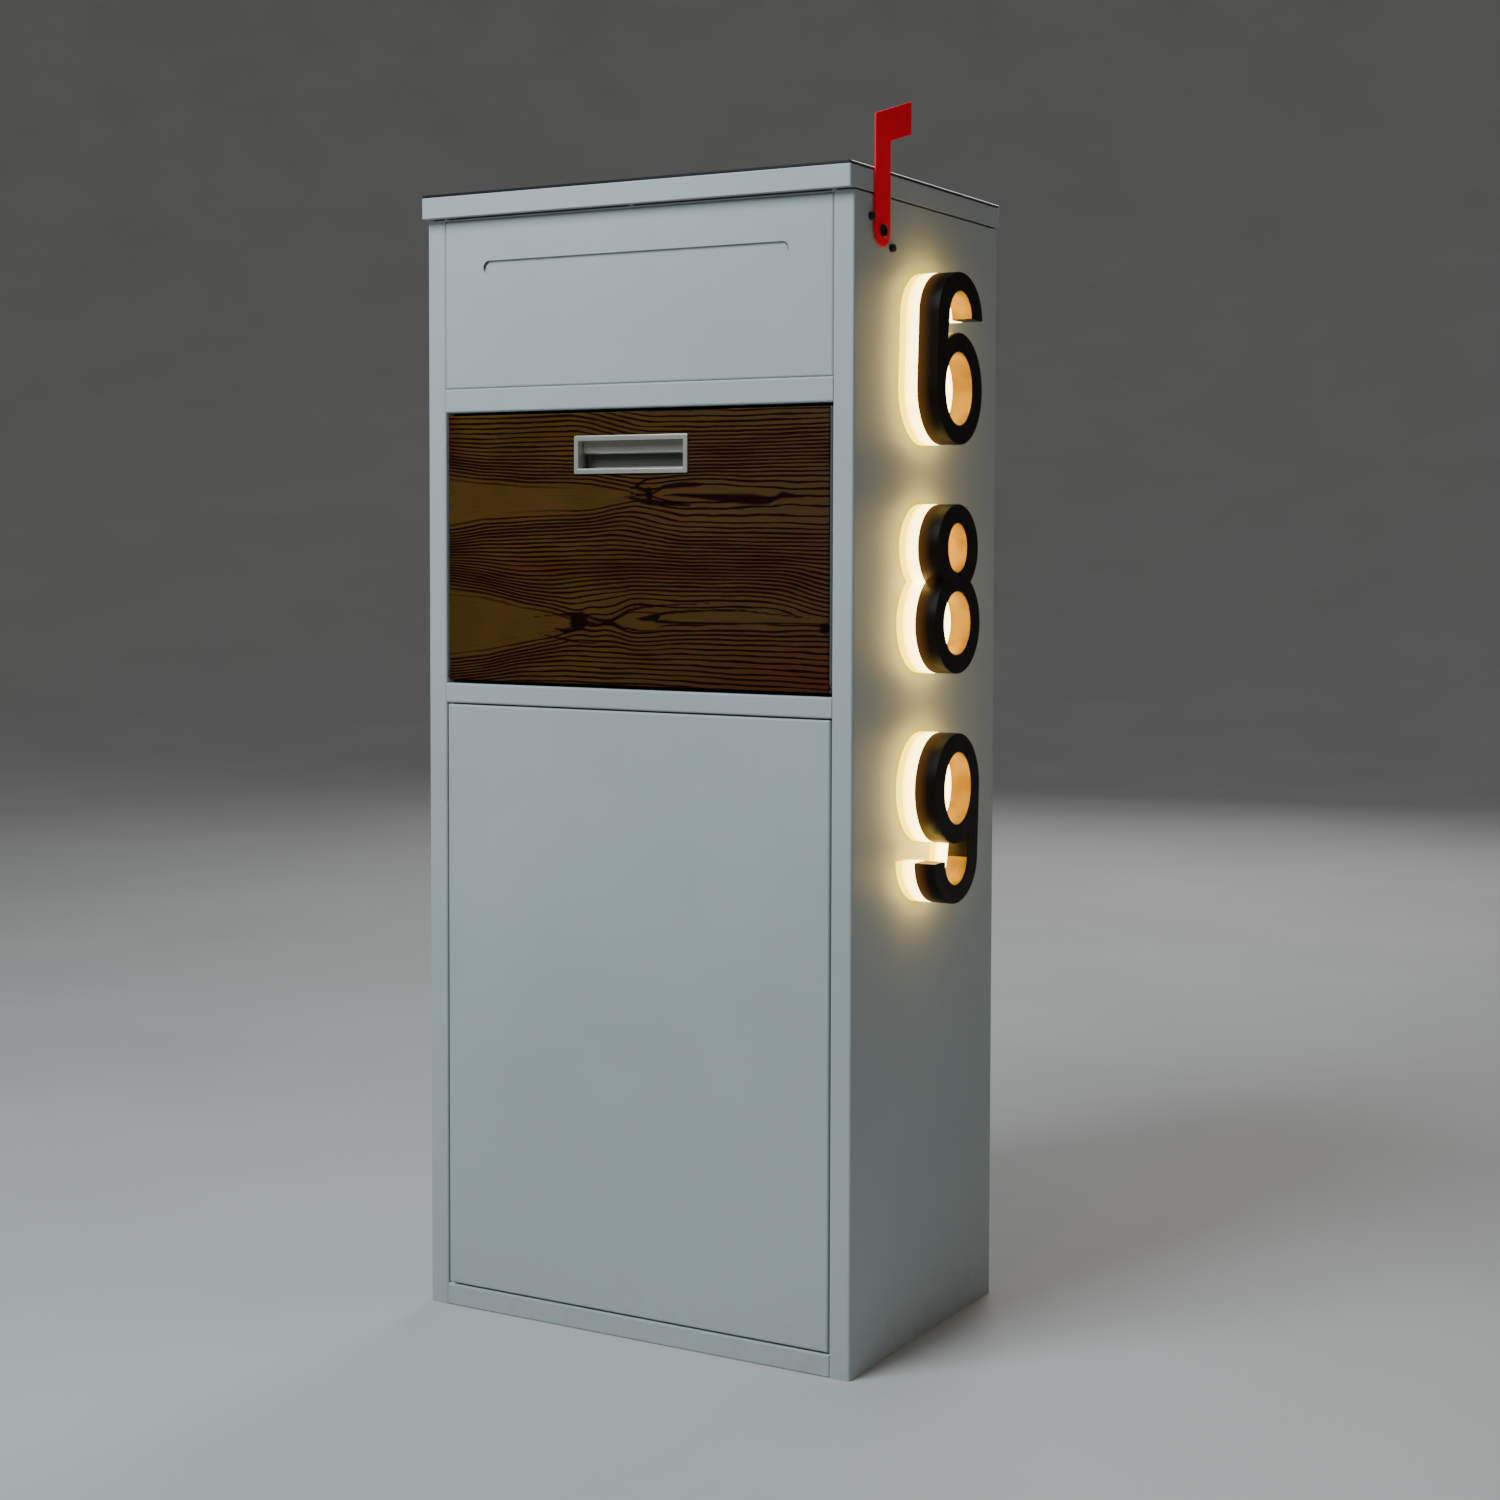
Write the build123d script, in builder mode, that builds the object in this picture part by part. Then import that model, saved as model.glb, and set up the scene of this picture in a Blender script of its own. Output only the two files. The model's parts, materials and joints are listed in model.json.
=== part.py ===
from build123d import *
import os
from math import atan2, cos, degrees, hypot, radians, sin

os.makedirs("parts", exist_ok=True)

# A free-standing steel parcel box. Millimetres; the origin is the centre of the base on the ground,
# X to the right, Y to the rear, Z up.

# Overall sizes
width = 450.0
depth = 280.0
height = 1035.0

# Sheet metal
sheet = 1.2
bend = 2.0
stile = 20.0
stile_lip = 12.0
rear_flange = 15.0

# Front, from the top down
lid_skirt = 21.4
lid_gap = 1.6
letter_panel_height = 155.0
upper_rail_height = 21.7
hopper_opening = 249.9
middle_rail_height = 18.2
bottom_rail_height = 20.0
rail_depth = 25.0
bottom_rail_depth = 18.0

# Letter slot and its flap
slot_width = 323.0
slot_height = 12.7
slot_below_top = 45.6
flap_overlap = 6.0
flap_gap = 0.8
flap_end_play = 4.0
flap_rod_radius = 2.0
flap_bracket = 2.0
bracket_foot = 12.0
bracket_height = 14.0

# Chute under the letter chamber
chute_start = 22.0
chute_run = 200.0
chute_drop = 24.0
chute_lip = 16.0

# Lid
lid_side_overhang = 0.9
lid_front_overhang = 8.4
lid_rear_overhang = 2.7
solar_sheet = 2.2
collar_inset = 8.0
collar_height = 14.0
hem = 12.0
buffer_width = 4.0
buffer_length = 6.0
lid_hinge_length = 360.0
knuckle_count = 5
knuckle_radius = 3.0
hinge_pin_radius = 1.5
base_leaf_height = 22.0
lid_leaf_height = 12.0

# Parcel hopper
hopper_side_gap = 3.0
hopper_bottom_gap = 3.5
hopper_top_gap = 3.3
hopper_recess = 0.8
hopper_flange = 15.0
laminate = 1.2
hopper_pin_radius = 2.0
hopper_pin_inset = 4.8
hopper_pin_lift = 3.8
bush_wall = 1.4
hopper_open = 45.0
hopper_reach = 185.0
hopper_floor_drop = 21.0
hopper_floor_lip = 12.0
hopper_floor_start = 5.0
hopper_floor_flange = 15.0
cheek_sector = 36.0
bumper_radius = 5.0
bumper_thickness = 8.0
stop_tab_width = 20.0
stop_tab_height = 14.0

# Flush pull on the hopper door
pull_width = 120.5
pull_height = 34.2
pull_rim = 4.7
pull_corner = 3.0
pull_proud = 1.8
pull_depth = 16.0
pull_wall = 1.0
pull_below_door_top = 37.6
hood_setback = 8.0

# Lower door
door_gap = 1.5
door_flange = 18.0
door_pivot_inset = 3.2
door_pin_radius = 1.5
door_pin_length = 12.0
washer_wall = 1.3
stiffener_width = 120.0
stiffener_crown = 80.0
stiffener_depth = 14.0
stiffener_short = 30.0

# Touch latch
latch_height = 290.0
latch_width = 14.0
latch_body = 18.0
latch_length = 40.0
latch_foot = 2.0
plunger_radius = 3.0
plunger_travel = 4.0
strike_width = 12.0
strike_height = 24.0
strike_thickness = 4.0

# Flag
flag_from_front = 45.6
flag_pivot_below_top = 29.5
flag_bar = 27.0
flag_neck = 78.1
flag_top = 97.6
flag_tip = 52.0
flag_tip_low = 89.5
flag_tip_high = 118.0
flag_standoff = 1.6
flag_plate = 1.5
flag_screw_radius = 2.5
flag_head_radius = 5.75
flag_head_height = 2.4
flag_spacer_radius = 7.0
flag_nut_radius = 4.6
flag_nut_height = 4.0
flag_stop_radius = 3.4
flag_stop_proud = 0.8

# House numerals
numeral_from_front = 125.5
numeral_pitch = 202.7
numeral_below_top = 57.5
backer = 6.0
diffuser = 12.0
shell_depth = 20.0
shell_wall = 1.5
stud_radius = 2.0
stud_nut_radius = 4.0
stud_nut_height = 3.2
led_width = 7.0
led_height = 10.0
led_thickness = 4.0

# Anchor holes
anchor_span_x = 340.0
anchor_span_y = 180.0
anchor_hole = 12.0

# Battery box
battery_from_rear = 55.0
battery_below_top = 90.0
battery_width = 60.0
battery_height = 90.0
battery_depth = 30.0
battery_wall = 2.0

# Rivets that hold the back
rivet_rows = 7
rivet_end = 40.0
rivet_radius = 3.0
rivet_height = 1.2

# Clearances
running = 0.05
loose = 0.1
fitting = 0.25

# Places worked out from the sizes
half = width / 2
inner = half - sheet
opening = half - stile
front = -depth / 2
rear = depth / 2
wall_top = height - lid_skirt - lid_gap
frame_bottom = wall_top - sheet
panel_bottom = wall_top - letter_panel_height
hopper_top = panel_bottom - upper_rail_height
hopper_bottom = hopper_top - hopper_opening
middle_rail_bottom = hopper_bottom - middle_rail_height
back_face = rear - 2 * sheet
slot_z = wall_top - slot_below_top


def facing(y):
    """Plane across the box at y, seen from the front, with local x and y along X and Z."""
    return Plane(origin=(0, y, 0), x_dir=(1, 0, 0), z_dir=(0, -1, 0))


def folded(points, side, thickness=sheet):
    """Section of a folded sheet whose outer line runs through the points."""
    with BuildSketch() as section:
        with BuildLine():
            FilletPolyline(*points, radius=bend)
            offset(amount=thickness, side=side)
        make_face()
    return section.sketch


def rod(radius, start, end, direction):
    """Round bar between two points, which lie along the direction."""
    length = (Vector(*end) - Vector(*start)).length
    with BuildPart() as bar:
        with BuildSketch(Plane(origin=start, z_dir=direction)):
            Circle(radius)
        extrude(amount=length)
    return bar.part


def tray(x_half, low, high, y_front, flange):
    """Sheet face with four flanges turned to the rear."""
    with BuildPart() as pressed:
        with BuildSketch(facing(y_front)):
            with Locations((0, (low + high) / 2)):
                Rectangle(2 * x_half, high - low)
        extrude(amount=-flange)
        fillet(pressed.edges().group_by(Axis.Y)[0], radius=bend)
        offset(amount=-sheet, openings=pressed.faces().sort_by(Axis.Y)[-1])
    return pressed.part


# Numerals, drawn about their own centre with x to the rear and y up


def figure_six(inset=0.0):
    """A 6 from a closed ring, a half ring above it and a straight stem, drawn in by the inset."""
    bowl_y = -26.6
    hook_y = 36.0
    with BuildSketch() as figure:
        with BuildSketch(mode=Mode.PRIVATE) as hook:
            with Locations((1.5, hook_y)):
                Ellipse(43.0 - inset, 39.5 - inset)
                Ellipse(22.0 + inset, 23.3 + inset, mode=Mode.SUBTRACT)
            with Locations((0, hook_y - 50)):
                Rectangle(120, 100, mode=Mode.SUBTRACT)
            with Locations((50, hook_y)):
                Rectangle(100, 2 * inset + 0.01, mode=Mode.SUBTRACT)
        add(hook.sketch)
        with BuildLine():
            Polyline(
                (-41.5 + inset, hook_y),
                (-44.5 + inset, bowl_y),
                (-26 - inset, bowl_y),
                (-25 - inset, 9.5),
                (-20.5 - inset, hook_y),
                close=True,
            )
        make_face()
        with Locations((0, bowl_y)):
            Ellipse(44.5 - inset, 49.0 - inset)
        with Locations((-1.4, bowl_y)):
            Ellipse(26.5 + inset, 32.4 + inset, mode=Mode.SUBTRACT)
    return figure.sketch


def figure_eight(inset=0.0):
    """An 8 from two rings, drawn in by the inset."""
    with BuildSketch() as figure:
        with Locations((-1.2, -30.0)):
            Ellipse(44.3 - inset, 44.5 - inset)
        with Locations((-1.2, 36.4)):
            Ellipse(39.9 - inset, 38.6 - inset)
        with Locations((-1.2, -30.0)):
            Ellipse(27.0 + inset, 28.4 + inset, mode=Mode.SUBTRACT)
        with Locations((-1.2, 36.4)):
            Ellipse(19.4 + inset, 22.0 + inset, mode=Mode.SUBTRACT)
    return figure.sketch


def figure_nine(inset=0.0):
    """The 6 turned half round."""
    return figure_six(inset).rotate(Axis.Z, 180)


figures = {"six": figure_six, "eight": figure_eight, "nine": figure_nine}
stud_places = {
    "six": [(0, -67.5), (-32, 20), (35, -22)],
    "eight": [(0, -66.5), (0, 3.5), (0, 66.5)],
    "nine": [(0, 67.5), (32, -20), (-35, 22)],
}
led_places = {
    "six": [(0, -67.5), (-35.5, -22), (35, -22), (2, 67)],
    "eight": [(0, -66.5), (-36.5, -30), (34, -30), (0, 66.5)],
    "nine": [(0, 67.5), (35.5, 22), (-35, 22), (-2, -67)],
}
numeral_y = front + numeral_from_front
numeral_z = {
    name: wall_top - numeral_below_top - 75.5 - index * numeral_pitch
    for index, name in enumerate(figures)
}

# Flag places
flag_y = front + flag_from_front
flag_z = wall_top - flag_pivot_below_top
flag_foot = flag_bar / 2
stop_places = [
    (flag_y - flag_foot - flag_stop_radius - 0.6, flag_z + 10.5),
    (flag_y + flag_foot + flag_stop_radius + 3.4, flag_z - 12.2),
]

# Side panels with their front stiles and rear flanges
side_line = [
    (opening, front + stile_lip),
    (opening, front),
    (half, front),
    (half, rear),
    (half - rear_flange, rear),
]
hopper_pivot_y = front + hopper_recess + hopper_pin_inset
hopper_pivot_z = hopper_bottom + hopper_bottom_gap + hopper_pin_lift

with BuildPart() as left_side_panel:
    with BuildSketch():
        add(folded([(-x, y) for x, y in side_line], Side.RIGHT))
    extrude(amount=frame_bottom)
    with BuildSketch(Plane.YZ.offset(-half + bend)):
        with Locations((hopper_pivot_y, hopper_pivot_z)):
            Circle(hopper_pin_radius + running)
    extrude(amount=stile, mode=Mode.SUBTRACT)
left_side_panel.part.label = "left_side_panel"
export_step(left_side_panel.part, "parts/left_side_panel.step")

with BuildPart() as right_side_panel:
    with BuildSketch():
        add(folded(side_line, Side.LEFT))
    extrude(amount=frame_bottom)
    with BuildSketch(Plane.YZ.offset(half - bend)):
        with Locations((hopper_pivot_y, hopper_pivot_z)):
            Circle(hopper_pin_radius + running)
    extrude(amount=-stile, mode=Mode.SUBTRACT)
    with BuildSketch(Plane.YZ.offset(half)):
        with Locations((flag_y, flag_z)):
            Circle(flag_screw_radius + running)
        for name, places in stud_places.items():
            with Locations((numeral_y, numeral_z[name])):
                with Locations(*places):
                    Circle(stud_radius + running)
    extrude(amount=-2 * sheet, mode=Mode.SUBTRACT)
right_side_panel.part.label = "right_side_panel"
export_step(right_side_panel.part, "parts/right_side_panel.step")

with BuildPart() as back_panel:
    with BuildSketch(facing(back_face)):
        with Locations((0, frame_bottom / 2)):
            Rectangle(2 * (inner - bend), frame_bottom)
    extrude(amount=-sheet)
back_panel.part.label = "back_panel"
export_step(back_panel.part, "parts/back_panel.step")

with BuildPart() as base_pan:
    with BuildSketch(Plane.YZ.offset(-opening)):
        pan_line = [
            (front + bottom_rail_depth, bottom_rail_height),
            (front, bottom_rail_height),
            (front, 0),
            (back_face, 0),
            (back_face, bottom_rail_height),
        ]
        add(folded(pan_line, Side.LEFT))
    extrude(amount=2 * opening)
    for side in (-1, 1):
        with BuildSketch(facing(front + stile_lip + fitting)):
            wing_line = [(side * opening, 0), (side * inner, 0), (side * inner, bottom_rail_height)]
            add(folded(wing_line, Side.LEFT if side > 0 else Side.RIGHT))
        extrude(amount=-(back_face - front - stile_lip - fitting))
    with BuildSketch():
        with GridLocations(anchor_span_x, anchor_span_y, 2, 2):
            Circle(anchor_hole / 2)
    extrude(amount=sheet, mode=Mode.SUBTRACT)
    with BuildSketch(Plane.XY.offset(bottom_rail_height)):
        with Locations((-opening + door_gap + door_pivot_inset, front + door_pivot_inset)):
            Circle(door_pin_radius + running)
    extrude(amount=-sheet, mode=Mode.SUBTRACT)
base_pan.part.label = "base_pan"
export_step(base_pan.part, "parts/base_pan.step")


def rail(low, high):
    """Channel between the stiles, open to the rear."""
    line = [(front + rail_depth, high), (front, high), (front, low), (front + rail_depth, low)]
    with BuildPart() as channel:
        with BuildSketch(Plane.YZ.offset(-opening)):
            add(folded(line, Side.LEFT))
        extrude(amount=2 * opening)
    return channel.part


with BuildPart() as middle_rail:
    add(rail(middle_rail_bottom, hopper_bottom))
    with BuildSketch(Plane.XY.offset(middle_rail_bottom)):
        with Locations((-opening + door_gap + door_pivot_inset, front + door_pivot_inset)):
            Circle(door_pin_radius + running)
    extrude(amount=sheet, mode=Mode.SUBTRACT)
middle_rail.part.label = "middle_rail"
export_step(middle_rail.part, "parts/middle_rail.step")

with BuildPart() as upper_rail:
    add(rail(hopper_top, panel_bottom))
upper_rail.part.label = "upper_rail"
export_step(upper_rail.part, "parts/upper_rail.step")

with BuildPart() as upper_front_panel:
    add(tray(opening, panel_bottom, frame_bottom, front, stile_lip))
    with BuildSketch(facing(front)):
        with Locations((0, slot_z)):
            SlotOverall(slot_width, slot_height)
    extrude(amount=-2 * sheet, mode=Mode.SUBTRACT)
upper_front_panel.part.label = "upper_front_panel"
export_step(upper_front_panel.part, "parts/upper_front_panel.step")

collar_x = width - 2 * collar_inset
collar_y = depth - 2 * collar_inset
with BuildPart() as top_frame:
    with BuildSketch(Plane.XY.offset(frame_bottom)):
        RectangleRounded(width, depth, bend)
        Rectangle(collar_x - 2 * sheet, collar_y - 2 * sheet, mode=Mode.SUBTRACT)
    extrude(amount=sheet)
    with BuildSketch(Plane.XY.offset(wall_top)):
        Rectangle(collar_x, collar_y)
        Rectangle(collar_x - 2 * sheet, collar_y - 2 * sheet, mode=Mode.SUBTRACT)
    extrude(amount=collar_height)
top_frame.part.label = "top_frame"
export_step(top_frame.part, "parts/top_frame.step")

with BuildPart() as lid_buffers:
    with BuildSketch(Plane.XY.offset(wall_top)):
        with Locations(*[(x, front + 1 + buffer_length / 2) for x in (-opening, 0, opening)]):
            Rectangle(buffer_width, buffer_length)
    extrude(amount=lid_gap - loose)
lid_buffers.part.label = "lid_buffers"
export_step(lid_buffers.part, "parts/lid_buffers.step")

# Letter flap on its rod behind the slot
flap_tube = flap_rod_radius + loose + sheet
flap_y = front + sheet + flap_gap + flap_tube
flap_z = slot_z + slot_height / 2 + 3 + flap_tube
flap_half = slot_width / 2 + flap_end_play
flap_bottom = slot_z - slot_height / 2 - flap_overlap

with BuildPart() as letter_flap:
    with BuildSketch(Plane.YZ.offset(-flap_half)):
        with Locations((flap_y, flap_z)):
            Circle(flap_tube)
        with BuildLine():
            Polyline(
                (flap_y - flap_tube, flap_z),
                (flap_y - flap_tube, flap_bottom),
                (flap_y - flap_tube + sheet, flap_bottom),
                (flap_y - flap_tube + sheet, flap_z),
                close=True,
            )
        make_face()
        with Locations((flap_y, flap_z)):
            Circle(flap_rod_radius + loose, mode=Mode.SUBTRACT)
    extrude(amount=2 * flap_half)
letter_flap.part.label = "letter_flap"
export_step(letter_flap.part, "parts/letter_flap.step")

bracket_x = flap_half + 2
with BuildPart() as flap_brackets:
    for side in (-1, 1):
        with BuildSketch(Plane.YZ.offset(side * bracket_x)):
            with Locations((front + sheet + bracket_foot / 2, flap_z)):
                Rectangle(bracket_foot, bracket_height)
            with Locations((flap_y, flap_z)):
                Circle(flap_rod_radius + running, mode=Mode.SUBTRACT)
        extrude(amount=side * flap_bracket)
        with BuildSketch(facing(front + sheet)):
            with Locations((side * (bracket_x + bracket_foot / 2), flap_z)):
                Rectangle(bracket_foot, bracket_height)
        extrude(amount=-flap_bracket)
    with BuildSketch(Plane.YZ.offset(-bracket_x - flap_bracket)):
        with Locations((flap_y, flap_z)):
            Circle(flap_rod_radius + running)
    extrude(amount=2 * (bracket_x + flap_bracket), mode=Mode.SUBTRACT)
flap_brackets.part.label = "flap_brackets"
export_step(flap_brackets.part, "parts/flap_brackets.step")

with BuildPart() as flap_rod:
    rod_end = bracket_x + flap_bracket + 1
    add(rod(flap_rod_radius, (-rod_end, flap_y, flap_z), (rod_end, flap_y, flap_z), (1, 0, 0)))
flap_rod.part.label = "flap_rod"
export_step(flap_rod.part, "parts/flap_rod.step")

# Sloping chute that sends letters down behind the hopper
chute_end = panel_bottom + chute_start - chute_drop
chute_line = [
    (front + sheet, panel_bottom + chute_start + chute_lip),
    (front + sheet, panel_bottom + chute_start),
    (front + chute_run, chute_end),
    (front + chute_run, chute_end - chute_lip),
]
with BuildPart() as letter_chute:
    with BuildSketch(Plane.YZ.offset(-opening + bend)):
        add(folded(chute_line, Side.LEFT))
    extrude(amount=2 * (opening - bend))
letter_chute.part.label = "letter_chute"
export_step(letter_chute.part, "parts/letter_chute.step")

# Lid
lid_top = height - solar_sheet
lid_bottom = wall_top + lid_gap
lid_x = half + lid_side_overhang
lid_front = front - lid_front_overhang
lid_rear = rear + lid_rear_overhang
lid_mid = (lid_front + lid_rear) / 2

with BuildPart() as lid_cap:
    with BuildSketch(Plane.XY.offset(lid_bottom)):
        with Locations((0, lid_mid)):
            Rectangle(2 * lid_x, lid_rear - lid_front)
    extrude(amount=lid_top - lid_bottom)
    fillet(lid_cap.edges().filter_by(Axis.Z), radius=bend)
    fillet(lid_cap.edges().group_by(Axis.Z)[-1], radius=bend - 0.5)
    offset(amount=-sheet, openings=lid_cap.faces().sort_by(Axis.Z)[0])
    with BuildSketch(Plane.XY.offset(lid_bottom)):
        with Locations((0, lid_front + sheet + hem / 2)):
            Rectangle(2 * (lid_x - bend), hem)
    extrude(amount=sheet)
lid_cap.part.label = "lid_cap"
export_step(lid_cap.part, "parts/lid_cap.step")

with BuildPart() as solar_panel:
    with BuildSketch(Plane.XY.offset(lid_top)):
        with Locations((0, lid_mid)):
            RectangleRounded(2 * lid_x, lid_rear - lid_front, bend)
    extrude(amount=solar_sheet)
    chamfer(solar_panel.edges().group_by(Axis.Z)[-1], length=0.4)
solar_panel.part.label = "solar_panel"
export_step(solar_panel.part, "parts/solar_panel.step")

# Hinge behind the lid: three knuckles on the cabinet's leaf, two on the lid's leaf
hinge_y = lid_rear + knuckle_radius
hinge_z = wall_top - 0.4
knuckle = lid_hinge_length / knuckle_count
leaf_z = hinge_z - knuckle_radius - 6
back_skin = back_face + sheet


def knuckle_starts(first):
    """Left ends of every second knuckle."""
    return [-lid_hinge_length / 2 + knuckle * index for index in range(first, knuckle_count, 2)]


with BuildPart() as hinge_base_leaf:
    with BuildSketch(Plane.YZ.offset(-lid_hinge_length / 2)):
        with BuildLine():
            Polyline(
                (back_skin, leaf_z - base_leaf_height),
                (back_skin + sheet, leaf_z - base_leaf_height),
                (back_skin + sheet, leaf_z),
                (hinge_y - 1.2, hinge_z - 2.5),
                (hinge_y - 2.4, hinge_z - 1.4),
                (back_skin, leaf_z + 2),
                close=True,
            )
        make_face()
    extrude(amount=lid_hinge_length)
    for start in knuckle_starts(0):
        with BuildSketch(Plane.YZ.offset(start + loose)):
            with Locations((hinge_y, hinge_z)):
                Circle(knuckle_radius)
        extrude(amount=knuckle - 2 * loose)
    for start in knuckle_starts(1):
        with BuildSketch(Plane.YZ.offset(start - loose)):
            with Locations((hinge_y, hinge_z)):
                Circle(knuckle_radius + 3 * loose)
        extrude(amount=knuckle + 2 * loose, mode=Mode.SUBTRACT)
    with BuildSketch(Plane.YZ.offset(-lid_hinge_length / 2)):
        with Locations((hinge_y, hinge_z)):
            Circle(hinge_pin_radius + running)
    extrude(amount=lid_hinge_length, mode=Mode.SUBTRACT)
hinge_base_leaf.part.label = "hinge_base_leaf"
export_step(hinge_base_leaf.part, "parts/hinge_base_leaf.step")

with BuildPart() as hinge_lid_leaf:
    with BuildSketch(facing(lid_rear)):
        with Locations((0, lid_bottom + 2.5 + lid_leaf_height / 2)):
            Rectangle(lid_hinge_length, lid_leaf_height)
    extrude(amount=-sheet)
    for start in knuckle_starts(1):
        with BuildSketch(Plane.YZ.offset(start + loose)):
            with Locations((hinge_y, hinge_z)):
                Circle(knuckle_radius)
            with BuildLine():
                Polyline(
                    (lid_rear, hinge_z),
                    (lid_rear, lid_bottom + 3),
                    (lid_rear + sheet, lid_bottom + 3),
                    (lid_rear + sheet, hinge_z),
                    close=True,
                )
            make_face()
            with Locations((hinge_y, hinge_z)):
                Circle(hinge_pin_radius + running, mode=Mode.SUBTRACT)
        extrude(amount=knuckle - 2 * loose)
hinge_lid_leaf.part.label = "hinge_lid_leaf"
export_step(hinge_lid_leaf.part, "parts/hinge_lid_leaf.step")

with BuildPart() as hinge_pin:
    pin_half = lid_hinge_length / 2 + 1
    add(rod(hinge_pin_radius, (-pin_half, hinge_y, hinge_z), (pin_half, hinge_y, hinge_z), (1, 0, 0)))
hinge_pin.part.label = "hinge_pin"
export_step(hinge_pin.part, "parts/hinge_pin.step")

# Parcel hopper
hopper_x = opening - hopper_side_gap
hopper_low = hopper_bottom + hopper_bottom_gap
hopper_high = hopper_top - hopper_top_gap
face_y = front + hopper_recess
skin_y = face_y + laminate
cheek_x = hopper_x - bend - sheet
pull_z = hopper_high - pull_below_door_top
pan_x = pull_width - 2 * pull_rim - 2
pan_z = pull_height - 2 * pull_rim
cup_x = pan_x + 2 * pull_wall
cup_z = pan_z + 2 * pull_wall

with BuildPart() as hopper_wood_panel:
    with BuildSketch(facing(face_y)):
        with Locations((0, (hopper_low + hopper_high) / 2)):
            Rectangle(2 * hopper_x, hopper_high - hopper_low)
        with Locations((0, pull_z)):
            Rectangle(cup_x + 2 * fitting, cup_z + 2 * fitting, mode=Mode.SUBTRACT)
    extrude(amount=-laminate)
hopper_wood_panel.part.label = "hopper_wood_panel"
export_step(hopper_wood_panel.part, "parts/hopper_wood_panel.step")

with BuildPart() as hopper_door_skin:
    add(tray(hopper_x, hopper_low, hopper_high, skin_y, hopper_flange))
    with BuildSketch(facing(skin_y)):
        with Locations((0, pull_z)):
            Rectangle(cup_x + 2 * fitting, cup_z + 2 * fitting)
    extrude(amount=-2 * sheet, mode=Mode.SUBTRACT)
    with BuildSketch(Plane.YZ.offset(-hopper_x)):
        with Locations((hopper_pivot_y, hopper_pivot_z)):
            Circle(hopper_pin_radius + running)
    extrude(amount=2 * hopper_x, mode=Mode.SUBTRACT)
hopper_door_skin.part.label = "hopper_door_skin"
export_step(hopper_door_skin.part, "parts/hopper_door_skin.step")

# The cheeks are sectors about the pivot, with an ear that carries the stop bumper
cheek_front = skin_y + sheet
cheek_low = hopper_low + sheet + 0.2
cheek_top = hopper_high - sheet - 0.8
cheek_radius = cheek_top - hopper_pivot_z
cheek_rear = hopper_pivot_y + hopper_reach
floor_rear_z = hopper_pivot_z - hopper_floor_drop
sector_end = radians(cheek_sector)
bumper_open = (front + rail_depth + bumper_radius + loose, hopper_top + 0.6)
bumper_reach = hypot(bumper_open[0] - hopper_pivot_y, bumper_open[1] - hopper_pivot_z)
bumper_angle = atan2(bumper_open[1] - hopper_pivot_z, bumper_open[0] - hopper_pivot_y) - radians(hopper_open)
bumper_y = hopper_pivot_y + bumper_reach * cos(bumper_angle)
bumper_z = hopper_pivot_z + bumper_reach * sin(bumper_angle)


def on_sector(angle):
    """Point on the sector's rim."""
    return (hopper_pivot_y + cheek_radius * cos(angle), hopper_pivot_z + cheek_radius * sin(angle))


def cheek_profile():
    """Side plate of the hopper in the Y-Z plane."""
    with BuildSketch() as profile:
        with BuildLine():
            start = on_sector(radians(87))
            end = on_sector(sector_end)
            RadiusArc(start, end, cheek_radius)
            Polyline(
                end,
                (cheek_rear + 3, floor_rear_z - 4),
                (front + rail_depth, cheek_low),
                (cheek_front + bend, cheek_low),
                (cheek_front, cheek_low + bend),
                (cheek_front, start[1]),
                start,
            )
        make_face()
        with Locations((bumper_y, bumper_z)):
            Circle(bumper_radius - 1)
        ear = Vector(cos(bumper_angle), sin(bumper_angle))
        side = Vector(-ear.Y, ear.X) * (bumper_radius - 1)
        root = Vector(bumper_y, bumper_z) - ear * 30
        tip = Vector(bumper_y, bumper_z)
        with BuildLine():
            Polyline(root - side, tip - side, tip + side, root + side, close=True)
        make_face()
        with Locations((hopper_pivot_y, hopper_pivot_z)):
            Circle(hopper_pin_radius + running, mode=Mode.SUBTRACT)
    return profile.sketch


with BuildPart() as hopper_cheek_left:
    with BuildSketch(Plane.YZ.offset(-cheek_x)):
        add(cheek_profile())
    extrude(amount=-sheet)
hopper_cheek_left.part.label = "hopper_cheek_left"
export_step(hopper_cheek_left.part, "parts/hopper_cheek_left.step")

with BuildPart() as hopper_cheek_right:
    with BuildSketch(Plane.YZ.offset(cheek_x)):
        add(cheek_profile())
    extrude(amount=sheet)
hopper_cheek_right.part.label = "hopper_cheek_right"
export_step(hopper_cheek_right.part, "parts/hopper_cheek_right.step")

with BuildPart() as hopper_bumpers:
    for side in (-1, 1):
        with BuildSketch(Plane.YZ.offset(side * cheek_x)):
            with Locations((bumper_y, bumper_z)):
                Circle(bumper_radius)
        extrude(amount=-side * bumper_thickness)
hopper_bumpers.part.label = "hopper_bumpers"
export_step(hopper_bumpers.part, "parts/hopper_bumpers.step")

floor_line = [
    (cheek_front, hopper_pivot_z + hopper_floor_start + hopper_floor_flange),
    (cheek_front, hopper_pivot_z + hopper_floor_start),
    (cheek_rear, floor_rear_z),
    (cheek_rear, floor_rear_z + hopper_floor_lip),
]
with BuildPart() as hopper_floor:
    with BuildSketch(Plane.YZ.offset(-cheek_x)):
        add(folded(floor_line, Side.LEFT))
    extrude(amount=2 * cheek_x)
hopper_floor.part.label = "hopper_floor"
export_step(hopper_floor.part, "parts/hopper_floor.step")

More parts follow.
